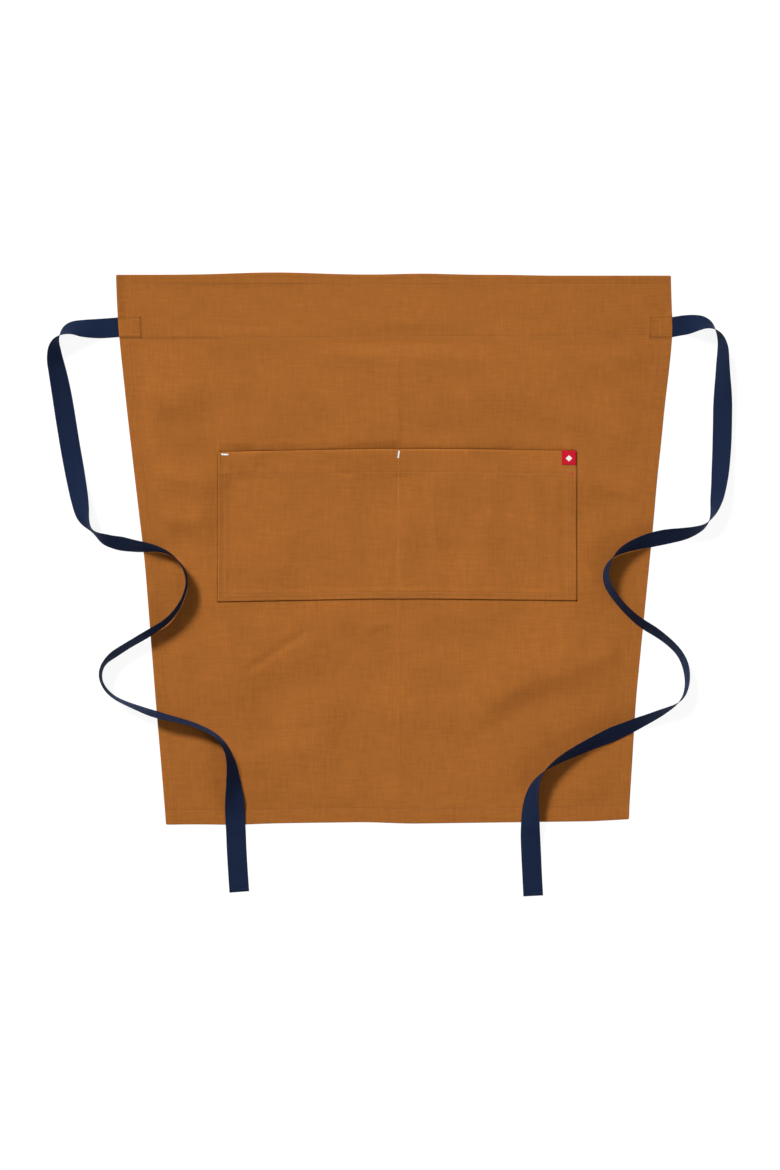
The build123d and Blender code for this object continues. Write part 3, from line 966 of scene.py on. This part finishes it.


# Painted shade: dark lines along the hems' seams, both waistband seams and just under the top edge, standing
# in for the shade in their dimples.
hem_shade = (near_line(side_depth(gx, gy) - side_seam) * (gy < band_edge)
             + near_line(gy - foot_line(gx) - foot_seam + foot_edge))
band_shade_strength = 0.08 + 0.24 * ease((-0.212 - gx) / 0.02)
band_seam_shade = band_shade_strength * near_line(gy - band_seam - band_tilt(gx, gy))
top_shade_lines = 0.07 * near_line(gy - band_top_seam) + 0.10 * near_line(gy - top_line(gx) + 0.0045, 0.0014)
# Painted shade along the stitched box over each tie's end.
tie_box_shade = 0.0
for edge, inward in ((left_edge(gy), 1), (right_edge(gy), -1)):
    from_edge = (gx - edge) * inward
    upright = near_line(np.abs(from_edge - tie_sewn_in + 0.0010)) * (np.abs(gy - tie_y) < half_tape)
    level = near_line(np.abs(gy - tie_y) - half_tape) * (from_edge < tie_sewn_in)
    tie_box_shade = tie_box_shade + upright + 0.6 * level
pattern_y = gy - pocket_shift(gx)
# Painted shadow on the panel just outside the pocket's sides and under its foot.
pocket_side_shadow = 0.50 * near_line(gx - pocket_left + 0.0005) + 0.62 * near_line(gx - pocket_right - 0.0006)
pocket_side_shadow = pocket_side_shadow * (pattern_y < pocket_mouth) * (pattern_y > pocket_foot - 0.001)
pocket_foot_shadow = 0.75 * near_line(pattern_y - pocket_foot + 0.0007)
pocket_foot_shadow = pocket_foot_shadow * (gx > pocket_left - 0.0005) * (gx < pocket_right + 0.001)
left_margin = ease((left_edge(gy) + 0.0115 - gx) / 0.002) * ease((gy - band_edge - 0.022) / 0.01)
# Painted shade on the panel in soft patches above the pocket's mouth.
mouth_shade = 0.10 * near_line(pattern_y - pocket_mouth - 0.0030, 0.0032) * (
    near_line(gx + 0.2000, 0.020) + near_line(gx + 0.0250, 0.035) + near_line(gx - 0.1750, 0.035))
# The sum: rubbed lighter at the outer fold; painted shade along the hems, the waistband seams and the tie
# boxes; darker along the band's left edge above the tie; painted shadow beside and below the pocket; painted
# shade above its mouth and a painted shade line just along it.
panel_wear_and_shading = (0.05 * edge_lightening - 0.09 * hem_shade - band_seam_shade - top_shade_lines - 0.36 * tie_box_shade
              - 0.12 * left_margin - pocket_side_shadow - pocket_foot_shadow - mouth_shade
              - 0.55 * beside_mouth(gx, gy, 0.0010))
panel_mesh = cloth_sheet("main_panel_cloth", panel_grid, cells, panel_wear_and_shading)
panel = place(panel_mesh, canvas, "apron", "canvas", ["main_panel"])
print(f"main panel: {len(panel_mesh.polygons)} faces")

# %% [markdown]
# ## Waistband facing
#
# Behind the waistband lies a second strip of canvas. Its lower edge is turned in and caught by the same
# seam that shows across the front. It is hardly seen, but it holds the tape ends and gives the band its
# thickness, so it is modelled as a strip with one turned edge.

# %% Facing mesh
facing_inset = 0.0004
facing_under = fold(0, cloth, cloth / 2, 6)[::-1]
facing_rows = (
    [(band_edge + d, 1.5 * cloth) for d in (0.012, 0.009, 0.006, 0.003)]
    + [(band_edge + d, z) for d, z in facing_under]
    + [(y, 0.5 * cloth) for y in spread(band_edge, top_edge - facing_inset, 0.006)]
    + [(top_edge - facing_inset, 0.5 * cloth)]
)
facing_columns = np.array(
    [0.0, 0.004, 0.010, 0.0165, 0.0170] + spread(0.017, 0.694, 0.006)
    + [0.694, 0.6945, 0.701, 0.707, waist_width]) / waist_width
grid = []
for y, z in facing_rows:
    left, right = left_edge(y) + facing_inset, right_edge(y) - facing_inset
    x = left + facing_columns * (right - left)
    laid_y = settle_row(x, np.full(len(x), y)) if y > top_edge - 0.05 else np.full(len(x), y)
    laid_y = laid_y - (y > top_edge - 0.001) * 1e-4
    grid.append(np.stack([x, laid_y, np.full(len(x), z)], axis=-1))
facing_grid = np.array(grid)
cells = np.ones((facing_grid.shape[0] - 1, facing_grid.shape[1] - 1), dtype=bool)
turned_rows, cut_columns = 4 + len(facing_under) - 2, 4
cells[:turned_rows, :cut_columns] = False
cells[:turned_rows, -cut_columns:] = False
facing_mesh = cloth_sheet("waistband_facing_cloth", facing_grid, cells, np.zeros(facing_grid.shape[:2]))
facing = place(facing_mesh, canvas, "apron", "canvas", ["waistband_facing"])
print(f"facing: {len(facing_mesh.polygons)} faces")

# %% [markdown]
# ## Pocket
#
# The pocket is one patch of canvas, sewn round three sides and down its middle, so it opens as two
# pockets. Its edges are turned under, and its mouth has a deeper hem. Sewing has drawn it out of line,
# so that its mouth and its foot lie about 3 mm nearer to the waistband at the middle seam than at the
# left. Between the seams it stands slightly off the panel, more at the mouth than at the foot.

# %% How the pocket stands
mouth_rise = 0.0034
turn_in = 0.010


def pocket_bow(x, y):
    """How far the patch stands off the panel."""
    halves = [(pocket_left + 0.012, pocket_divider), (pocket_divider, pocket_right - 0.014)]
    rise = 0.0
    for left, right in halves:
        share = np.clip((x - left) / (right - left), 0, 1)
        rise = rise + (4 * share * (1 - share)) ** 1.15
    up = ease((y - pocket_foot - 0.008) / (pocket_mouth - pocket_foot + 0.03))
    return mouth_rise * rise * up


pocket_creases = [
    ((0.0480, 0.1100), (0.0520, -0.0300), 0.0120, 0.0013, 0.0080),
    ((0.1215, 0.1150), (0.1200, -0.0100), 0.0120, 0.0012, 0.0090),
    ((0.1730, 0.1250), (0.1735, 0.0880), 0.0030, 0.0013, 0.0030),
    ((0.1800, 0.0800), (0.1810, -0.0400), 0.0080, 0.0009, 0.0080),
    ((0.2050, 0.0850), (0.2040, -0.0200), 0.0060, 0.0007, 0.0060),
    ((0.0030, 0.0900), (0.0030, -0.0500), 0.0070, -0.0007, 0.0090),
    ((-0.0600, 0.1000), (-0.0580, -0.0300), 0.0160, 0.0012, 0.0120),
    ((-0.1500, 0.0600), (-0.1380, -0.0200), 0.0180, 0.0012, 0.0140),
]
row_insets = (0.0032, 0.0080)


def pocket_middle(x, y):
    """Height of the middle of the patch's upper layer."""
    pattern_y = y - pocket_shift(x)
    depth = np.minimum(x - pocket_left, pocket_right - x)
    low = pattern_y - pocket_foot
    single = ease((depth - turn_in) / 0.006) * ease((low - turn_in) / 0.006)
    single = single * ease((pocket_mouth - pocket_hem - pattern_y) / 0.005)
    bends = single * sum(ridge(x, y, *bend) for bend in pocket_creases)
    rim = np.minimum(depth, low)
    rows = sum(np.exp(-((rim - inset) / 0.0009) ** 2) for inset in row_insets)
    hem_row = np.exp(-((pattern_y - pocket_mouth + pocket_hem - 0.0002) / 0.0009) ** 2)
    middle_row = np.exp(-((x - pocket_divider) / 0.0010) ** 2)
    puff = 0.00025 * ease(rim / 0.002) * ease((0.0125 - rim) / 0.003)
    seams = 0.00030 * (rows + hem_row + middle_row)
    return cloth_top(x, y) + 1.5 * cloth - 0.9 * cloth * single + pocket_bow(x, y) + bends + puff - seams


# %% [markdown]
# The patch is one grid too. Under its edges the grid's heights count down from its upper layer, and on
# top they are left open, as None, until the surface is asked for them.

# %% Columns and rows of the pocket
under_fold = fold(0, 0, cloth / 2, 6)[:-1]
pocket_under = [(depth, -cloth / 2) for depth in (turn_in, 0.0070, 0.0040, 0.0018)] + under_fold
hem_depths = [pocket_hem] + spread(pocket_hem, 0.0018, 0.003) + [0.0018]
mouth_under = [(depth, -cloth / 2) for depth in hem_depths] + under_fold
rim = [cloth / 2, 0.0010, 0.0018, 0.0025, 0.0032, 0.0039, 0.0050, 0.0064, 0.0073, 0.0080, 0.0087,
       0.0098, 0.0114, 0.0135, 0.0160]
column_parts = (
    [pocket_left + d for d in rim]
    + spread(pocket_left + rim[-1], pocket_divider - 0.0042, 0.0032)
    + [pocket_divider + d for d in (-0.0042, -0.0024, -0.0014, -0.0007, 0, 0.0007, 0.0014, 0.0024, 0.0042)]
    + spread(pocket_divider + 0.0042, pocket_right - rim[-1], 0.0032)
    + [pocket_right - d for d in rim[::-1]]
)
hem_y = pocket_mouth - pocket_hem
row_parts = (
    [pocket_foot + d for d in rim]
    + spread(pocket_foot + rim[-1], hem_y - 0.0035, 0.0034)
    + [hem_y + d for d in (-0.0035, -0.0018, -0.0007, 0.0002, 0.0010, 0.0020, 0.0035)]
    + spread(hem_y + 0.0035, pocket_mouth - 0.0036, 0.0032)
    + [pocket_mouth - d for d in (0.0036, 0.0024, 0.0014, 0.0008, cloth / 2)]
)
turned_points, top_points = len(pocket_under), len(mouth_under)
columns = (
    [(pocket_left + d, z) for d, z in pocket_under] + [(x, None) for x in column_parts]
    + [(pocket_right - d, z) for d, z in pocket_under[::-1]])
rows = (
    [(pocket_foot + d, z) for d, z in pocket_under] + [(y, None) for y in row_parts]
    + [(pocket_mouth - d, z) for d, z in mouth_under[::-1]])

# %% Points of the pocket
grid = np.zeros((len(rows), len(columns), 3))
xs = np.array([x for x, _ in columns])
for i, (y, row_z) in enumerate(rows):
    ys = y + pocket_shift(xs)
    top_z = pocket_middle(xs, ys)
    for j, (x, column_z) in enumerate(columns):
        offset = row_z if row_z is not None else column_z
        z = top_z[j] if offset is None else top_z[j] - cloth / 2 + offset
        grid[i, j] = (x, ys[j], z)
cells = np.ones((len(rows) - 1, len(columns) - 1), dtype=bool)
cells[:turned_points, :turned_points] = False
cells[:turned_points, -turned_points:] = False
cells[-top_points:, :turned_points] = False
cells[-top_points:, -turned_points:] = False

# %% Wear, painted shade and painted highlight of the pocket, and its mesh
gx, gy = grid[..., 0], grid[..., 1] - pocket_shift(grid[..., 0])
rim_depth = np.minimum(np.minimum(gx - pocket_left, pocket_right - gx), gy - pocket_foot)
# Painted shade along the stitch rows, the mouth's hem row and the middle seam, strongest along the left
# side's outer row.
rows_line = sum(near_line(rim_depth - inset, 0.0009) for inset in row_insets)
left_row = near_line(gx - pocket_left - row_insets[0], 0.0009) * (gy > pocket_foot + 0.004)
hem_shade_strength = 0.06 + 0.30 * ease((pocket_left + 0.013 - gx) / 0.003)
hem_row = hem_shade_strength * near_line(gy - hem_y, 0.0009)
# Lighter along the patch's folded edges and more along its mouth: partly rubbing, partly a painted highlight
# on the rolled edges.
edge_lightening = near_line(rim_depth) + 1.3 * near_line(pocket_mouth - gy, 0.0012)
pocket_wear_and_shading = (0.11 * edge_lightening - 0.07 * rows_line - 0.26 * left_row - hem_row
               - 0.07 * near_line(gx - pocket_divider))
pocket_mesh = cloth_sheet("pocket_patch_cloth", grid, cells, pocket_wear_and_shading)
pocket = place(pocket_mesh, canvas, "apron", "canvas", ["pocket_patch"])
print(f"pocket: {len(pocket_mesh.polygons)} faces")

# %% [markdown]
# ## Pocket label
#
# A narrow woven label is folded over the mouth's right corner and sewn down along its lower edge. Its
# weave is a satin, so it has fine ribs across and more shine than the canvas. It carries a small plain
# white diamond, woven in. The label's own UV map places the diamond.

# %% Label finish
label_low, label_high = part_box("pocket_label")
label_width = label_high.x - label_low.x
label_depth = label_high.y - label_low.y
label_thick = 0.0004


def label_finish():
    """Red satin weave with a plain white diamond woven in."""
    finish, shader, start = new_finish("woven_label", roughness=0.62, specular=0.10, sheen=0.0)
    place_uv = start.node("ShaderNodeUVMap", {"uv_map": "label"})
    across, along, _ = place_uv.split()
    weft_pitch, warp_pitch, diamond_reach = 0.00036, 0.00028, 0.0042
    ribs = along.ripple(weft_pitch)
    ends = across.ripple(warp_pitch)
    fuzz = place_uv.stretched(1500.0, 500.0).noise(1.0, 2.0)
    from_middle = ((across - label_width / 2).maths("ABSOLUTE")
                   + (along - label_depth * 0.5).maths("ABSOLUTE"))
    stepped = (from_middle / weft_pitch).maths("ROUND") * weft_pitch
    diamond = stepped.maths("LESS_THAN", diamond_reach)
    red = (0.84 + ribs * 0.14 + fuzz * 0.14).tinted((0.53, 0.0045, 0.020))
    white = (0.80 + ribs * 0.12 + fuzz * 0.10).tinted((0.86, 0.85, 0.83))
    colour = start.node("ShaderNodeMix", {"data_type": "VECTOR"}, {0: diamond, 4: red, 5: white}, output=1)
    paint(shader, start, colour=colour, height=ribs + ends * 0.4 + diamond * 0.6, deep=0.00006)
    return finish


# %% Label mesh
def label_points():
    """The label's middle surface: up its front, over the pocket's edge and down behind it."""
    steps_x = np.linspace(0, 1, 14)
    front = [(label_low.y + 0.0003 + t * (label_depth - 0.0018), 0.00025) for t in np.linspace(0, 1, 12)]
    bend = [(pocket_mouth - 0.0006 + 0.00095 * cos(t), -0.0007 + 0.00095 * sin(t))
            for t in np.linspace(pi / 2, -0.35, 8)]
    profile = front + bend[1:] + [(pocket_mouth + 0.0003, -0.0014)]
    grid = np.zeros((len(profile), len(steps_x), 3))
    for i, (y, over) in enumerate(profile):
        curl = 0.00018 * ease((label_low.y + 0.004 - y) / 0.004)
        for j, share in enumerate(steps_x):
            x = label_low.x + share * label_width
            laid = min(y, pocket_mouth - 0.0006)
            base = float(pocket_middle(np.array(x), np.array(laid + pocket_shift(x)))) + cloth / 2
            corner = curl * (2 * abs(share - 0.5)) ** 3
            grid[i, j] = (x, y + float(pocket_shift(x)), base + over + corner)
    return grid


label_grid = label_points()
label_cells = np.ones((label_grid.shape[0] - 1, label_grid.shape[1] - 1), dtype=bool)
label_cloth = cloth_sheet(
    "pocket_label_tab", label_grid, label_cells, np.zeros(label_grid.shape[:2]), label_thick)
layer = label_cloth.uv_layers.new(name="label")
for loop in label_cloth.loops:
    spot = label_cloth.vertices[loop.vertex_index].co
    layer.data[loop.index].uv = (spot.x - label_low.x, spot.y - label_low.y)
label = place(label_cloth, label_finish(), "apron", "label", ["pocket_label"])
print(f"label {1000 * label_width:.1f} x {1000 * label_depth:.1f} mm")

# %% [markdown]
# ## Thread
#
# Sewing thread is two or three plies twisted together. The plies are too fine to model, so a slanting
# ripple in colour and height stands for their twist. The tan thread is close to the cloth's colour, so
# the seams show mostly by their dimples, as they do on the real apron, and by a line of painted shade
# along each.

# %% Thread finishes
def thread_finish(name, colour, roughness, ply=0.00032):
    """Twisted thread: a slanting ripple of its plies, and fuzz."""
    finish, shader, start = new_finish(name, roughness=roughness, specular=0.3)
    place_here = start.node("ShaderNodeTexCoord", output="Object")
    x, y, z = place_here.split()
    twist = (x + y * 0.6 + z * 0.8).ripple(ply)
    fuzz = place_here.noise(2500.0, 2.0)
    bright = 0.80 + twist * 0.16 + fuzz * 0.22
    paint(shader, start, colour=bright.tinted(colour), height=twist + fuzz * 0.5, deep=0.00006)
    return finish


tan_thread = thread_finish("tan_thread", (0.47, 0.190, 0.052), 0.75)
white_thread = thread_finish("white_thread", (0.95, 0.94, 0.90), 0.6)
red_thread = thread_finish("red_thread", (0.60, 0.010, 0.028), 0.6)
navy_thread = thread_finish("navy_thread", (0.016, 0.027, 0.064), 0.7)

# %% [markdown]
# ## Stitches with Geometry Nodes
#
# A seam is the same stitch over and over along a line, which is just what Geometry Nodes are for. The
# line of the seam is a chain of edges. The tree turns it into a curve, marks it out at the stitch's
# pitch, and puts a small grain of thread at each mark, turned along the seam and half sunk in the
# cloth. A lean that changes sides at every other stitch makes the zigzag of a bar tack. Small random
# changes of size and angle, from a fixed seed, keep it from looking printed.

# %% Stitch tree
def stitch_tree():
    """A node group that lays stitches along chains of edges; returns it with its inputs' identifiers."""
    tree = bpy.data.node_groups.new("stitches", "GeometryNodeTree")
    sockets = {}
    tree.interface.new_socket("Geometry", in_out="INPUT", socket_type="NodeSocketGeometry")
    for name in ("Pitch", "Length", "Width", "Height", "Turn", "Lean", "Ragged"):
        made = tree.interface.new_socket(name, in_out="INPUT", socket_type="NodeSocketFloat")
        sockets[name] = made.identifier
    made = tree.interface.new_socket("Seed", in_out="INPUT", socket_type="NodeSocketInt")
    sockets["Seed"] = made.identifier
    made = tree.interface.new_socket("Finish", in_out="INPUT", socket_type="NodeSocketMaterial")
    sockets["Finish"] = made.identifier
    tree.interface.new_socket("Geometry", in_out="OUTPUT", socket_type="NodeSocketGeometry")

    def add(kind, settings=None, **links):
        """A node with its settings, and its inputs by name, or by number as i0, i1 and so on."""
        node = tree.nodes.new(kind)
        for name, value in (settings or {}).items():
            setattr(node, name, value)
        for name, value in links.items():
            numbered = name[0] == "i" and name[1:].isdigit()
            target = node.inputs[int(name[1:]) if numbered else name]
            if isinstance(value, bpy.types.NodeSocket):
                tree.links.new(value, target)
            else:
                target.default_value = value
        return node

    given = add("NodeGroupInput").outputs
    curve = add("GeometryNodeMeshToCurve", Mesh=given["Geometry"])
    marks = add("GeometryNodeResampleCurve", {"mode": "LENGTH"},
                Curve=curve.outputs[0], Length=given["Pitch"])
    tangent = add("GeometryNodeInputTangent")
    facing_on = add(
        "FunctionNodeAlignRotationToVector", {"axis": "X", "pivot_axis": "Z"}, Vector=tangent.outputs[0])
    index = add("GeometryNodeInputIndex")
    parity = add("ShaderNodeMath", {"operation": "MODULO"}, i0=index.outputs[0], i1=2.0)
    sign = add("ShaderNodeMath", {"operation": "MULTIPLY_ADD"}, i0=parity.outputs[0], i1=2.0, i2=-1.0)
    lean = add("ShaderNodeMath", {"operation": "MULTIPLY"}, i0=sign.outputs[0], i1=given["Lean"])
    chance_turn = add("FunctionNodeRandomValue", {"data_type": "FLOAT"}, i2=-1.0, i3=1.0, Seed=given["Seed"])
    wobble = add("ShaderNodeMath", {"operation": "MULTIPLY_ADD"},
                 i0=chance_turn.outputs[1], i1=given["Ragged"], i2=lean.outputs[0])
    turn = add("ShaderNodeMath", {"operation": "ADD"}, i0=wobble.outputs[0], i1=given["Turn"])
    about_z = add("FunctionNodeAxisAngleToRotation", Axis=(0, 0, 1), Angle=turn.outputs[0])
    rotation = add("FunctionNodeRotateRotation", {"rotation_space": "LOCAL"},
                   Rotation=facing_on.outputs[0], i1=about_z.outputs[0])
    size = add("ShaderNodeCombineXYZ", X=given["Length"], Y=given["Width"], Z=given["Height"])
    chance_size = add("FunctionNodeRandomValue", {"data_type": "FLOAT"}, i2=0.90, i3=1.08, Seed=given["Seed"])
    scale = add("ShaderNodeVectorMath", {"operation": "SCALE"},
                i0=size.outputs[0], Scale=chance_size.outputs[1])
    grain = add("GeometryNodeMeshUVSphere", Segments=8, Rings=5, Radius=0.5)
    placed = add("GeometryNodeInstanceOnPoints", Points=marks.outputs[0], Instance=grain.outputs[0],
                 Rotation=rotation.outputs[0], Scale=scale.outputs[0])
    real = add("GeometryNodeRealizeInstances", Geometry=placed.outputs[0])
    smooth = add("GeometryNodeSetShadeSmooth", Geometry=real.outputs[0])
    finished = add("GeometryNodeSetMaterial", Geometry=smooth.outputs[0], Material=given["Finish"])
    add("NodeGroupOutput", Geometry=finished.outputs[0])
    return tree, sockets


stitch_group, stitch_inputs = stitch_tree()


# %% Sewing along a line
def sew(name, chains, finish, body, slot, nodes, **sizes):
    """Stitches along one or more chains of points, as one piece."""
    points, edges = [], []
    for chain in chains:
        edges += [(len(points) + i, len(points) + i + 1) for i in range(len(chain) - 1)]
        points += [tuple(float(part) for part in point) for point in chain]
    mesh = bpy.data.meshes.new(name + "_line")
    mesh.from_pydata(points, edges, [])
    draft = bpy.data.objects.new(name + "_draft", mesh)
    bpy.context.collection.objects.link(draft)
    modifier = draft.modifiers.new("stitches", "NODES")
    modifier.node_group = stitch_group
    values = {"Pitch": 0.0030, "Length": 0.0026, "Width": 0.00062, "Height": 0.00050, "Turn": 0.06,
              "Lean": 0.0, "Ragged": 0.04, "Seed": len(points), "Finish": finish}
    values.update(sizes)
    for key, value in values.items():
        modifier[stitch_inputs[key]] = value
    evaluated = draft.evaluated_get(bpy.context.evaluated_depsgraph_get())
    finished = bpy.data.meshes.new_from_object(evaluated)
    bpy.data.objects.remove(draft)
    bpy.data.meshes.remove(mesh)
    finished.name = name
    piece = place(finished, finish, body, slot, nodes)
    print(f"{name}: {len(finished.polygons)} faces")
    return piece


# %% [markdown]
# ## Seams
#
# Each seam is a straight or bent line on the cloth. `over` samples the line every few millimetres and
# reads the height from the same function that shaped the cloth, so the stitches follow its swells.

# %% Seams of the cloth
def over(points, height, step=0.003, lift=0.00008):
    """A chain along straight runs between points (x, y), lying on a surface."""
    chain = []
    for (x0, y0), (x1, y1) in zip(points, points[1:]):
        count = max(int(hypot(x1 - x0, y1 - y0) / step), 1)
        chain += [(x0 + (x1 - x0) * i / count, y0 + (y1 - y0) * i / count) for i in range(count)]
    chain.append(points[-1])
    xs, ys = np.array(chain).T
    return np.stack([xs, ys, height(xs, ys) + lift], axis=-1)


def sew_tan(name, chains, node, **sizes):
    """A seam of tan thread on the cloth."""
    return sew(name, chains, tan_thread, "apron", "tan_thread", [node], **sizes)


end_gap = 0.002
seam_ys = np.linspace(foot_seam + end_gap, band_edge, 40)
for side_name, edge, inward in (("left", left_edge, 1), ("right", right_edge, -1)):
    line = [(float(edge(y)) + inward * side_seam, float(y)) for y in seam_ys]
    sew_tan(f"side_hem_stitches_{side_name}", [over(line, cloth_top)], f"side_hem_thread_{side_name}")
foot_xs = np.linspace(float(left_edge(foot_seam)) + end_gap, float(right_edge(foot_seam)) - end_gap, 40)
line = [(float(x), float(foot_line(x)) + foot_seam - foot_edge) for x in foot_xs]
sew_tan("bottom_hem_stitches", [over(line, cloth_top)], "bottom_hem_thread")
for seam_name, seam_y in (("lower", band_seam), ("upper", band_top_seam)):
    xs = np.linspace(float(left_edge(seam_y)) + end_gap, float(right_edge(seam_y)) - end_gap, 50)
    line = [(float(x), float(settle_row(x, seam_y))) for x in xs]
    sew_tan(f"waistband_{seam_name}_stitches", [over(line, cloth_top)], f"waistband_{seam_name}_thread")


# %% Seams of the pocket
def pocket_top(x, y):
    """Height of the patch's upper face."""
    return pocket_middle(x, y) + cloth / 2


def patch_point(x, y):
    """A point of the patch's pattern, moved as sewing draws the patch in."""
    return x, y + float(pocket_shift(x))


row_top = pocket_mouth - label_depth - 0.001
for row_name, inset in zip(("outer", "inner"), row_insets):
    foot_xs = np.linspace(pocket_left + inset, pocket_right - inset, 31)
    line = [patch_point(pocket_left + inset, row_top)]
    line += [patch_point(float(x), pocket_foot + inset) for x in foot_xs]
    line.append(patch_point(pocket_right - inset, row_top))
    sew_tan(f"pocket_{row_name}_stitches", [over(line, pocket_top)], f"pocket_{row_name}_thread")
divider_line = [patch_point(pocket_divider, pocket_foot + 0.012), patch_point(pocket_divider, 0.113)]
sew_tan("pocket_divider_stitches", [over(divider_line, pocket_top)], "pocket_divider_thread")
hem_chains = []
for left, right in ((pocket_left + 0.0015, pocket_divider - 0.001),
                    (pocket_divider + 0.001, pocket_right - 0.0015)):
    line = [patch_point(float(x), hem_y + 0.0002) for x in np.linspace(left, right, 20)]
    hem_chains.append(over(line, pocket_top))
sew_tan("pocket_hem_stitches", hem_chains, "pocket_hem_thread")

# %% Boxes over the tie ends
box_half = half_tape - 0.003
for side_name, edge, inward in (("left", left_edge, 1), ("right", right_edge, -1)):
    near = float(edge(tie_y)) + inward * 0.0155
    far = float(edge(tie_y)) + inward * (tie_sewn_in - 0.0015)
    corners = [(near, tie_y - box_half), (near, tie_y + box_half), (far, tie_y + box_half),
               (far, tie_y - box_half), (near, tie_y - box_half)]
    sew_tan(f"tie_{side_name}_box_stitches", [over(corners, cloth_top)], f"tie_{side_name}_box_thread",
            Pitch=0.0026, Length=0.0023)

# %% Label stitches and the ends of the ties
label_seam_y = label_low.y + 0.0015
label_line = [patch_point(label_low.x + 0.001, label_seam_y), patch_point(label_high.x - 0.001, label_seam_y)]
sew("label_stitches", [over(label_line, pocket_top, lift=label_thick + 0.0001)], red_thread, "apron",
    "red_thread", ["label_thread"], Pitch=0.0022, Length=0.0019, Width=0.0004, Height=0.0004)
end_row = 0.006
for side_name in ("left", "right"):
    middle, side, face, along, length = tie_ends[side_name]
    spot = int(np.searchsorted(along, length - end_row))
    reach = np.linspace(-1, 1, 12)[:, None] * (half_tape - 0.001)
    chain = middle[spot] + reach * side[spot] + face[spot] * (tape_thick / 2 + 0.0001)
    sew(f"tie_{side_name}_end_stitches", [chain], navy_thread, f"tie_{side_name}", "navy_thread",
        [f"tie_{side_name}_end_thread"], Pitch=0.0023, Length=0.0020, Width=0.0005, Height=0.0005)

# %% [markdown]
# ## Bar tacks
#
# A bar tack is a short, dense zigzag that a machine sews where a pocket would tear: many strands of thread
# side by side. The stitch tree makes it too, with the strands laid across the line, close enough to
# touch, and leaning one way and the other in turn.

# %% Bar tacks
def bar_tack(name, start, end, width, height, finish, slot, node, seed):
    """Strands of a width laid side by side along a short line, leaning to and fro."""
    line = over([start, end], height, step=0.001, lift=0.00022)
    return sew(name, [line], finish, "apron", slot, [node], Pitch=0.00048, Length=width, Width=0.00062,
               Height=0.00062, Turn=pi / 2, Lean=0.10, Ragged=0.05, Seed=seed)


left_tack_y = 0.1212 + float(pocket_shift(-0.219))
bar_tack("bartack_pocket_left_threads", (-0.2233, left_tack_y + 0.0004), (-0.2147, left_tack_y), 0.0029,
         pocket_top, white_thread, "white_thread", "bartack_pocket_left", 3)
divider_shift = float(pocket_shift(pocket_divider))
bar_tack("bartack_divider_threads", (pocket_divider - 0.0005, 0.1138 + divider_shift),
         (pocket_divider + 0.0009, 0.1226 + divider_shift), 0.0027,
         pocket_top, white_thread, "white_thread", "bartack_divider", 5)
label_tack_y = 0.0950 + float(pocket_shift(0.2259))
bar_tack("bartack_label_threads", (0.2236, label_tack_y), (0.2282, label_tack_y), 0.0021,
         pocket_top, red_thread, "red_thread", "bartack_label", 7)

# %% [markdown]
# ## Sewn tie ends
#
# The tapes carry on for 29 mm inside the waistband. Only their outline shows through the cloth, but the
# pieces are real, so they are made as short flat lengths of the same tape.

# %% Sewn tie ends
for side_name, outwards in (("left", -1.0), ("right", 1.0)):
    edge_x = outwards * half_waist
    along = np.linspace(0.0135, tie_sewn_in, 9)
    level, unhemmed = np.zeros(len(along)), 1.0
    middle = np.stack([edge_x - outwards * along, level + tie_y, level + slot_height], axis=-1)
    mesh = ribbon_mesh(f"tie_{side_name}_sewn_tape", middle, level, level + 1.0, along, -1, unhemmed)
    if not outward(mesh):
        mesh.flip_normals()
    place(mesh, tape, "apron", "tape", [f"tie_{side_name}_sewn_end"])

# %% [markdown]
# ## Facts about the soft pieces
#
# The frame keeps the facts a cloth or cord has before it is laid: a tie's length and width, and the flat
# size that each sheet was cut to, with its turnings.

# %% Declare cords and sheets
for side_name in ("left", "right"):
    line = tie_lines[side_name]
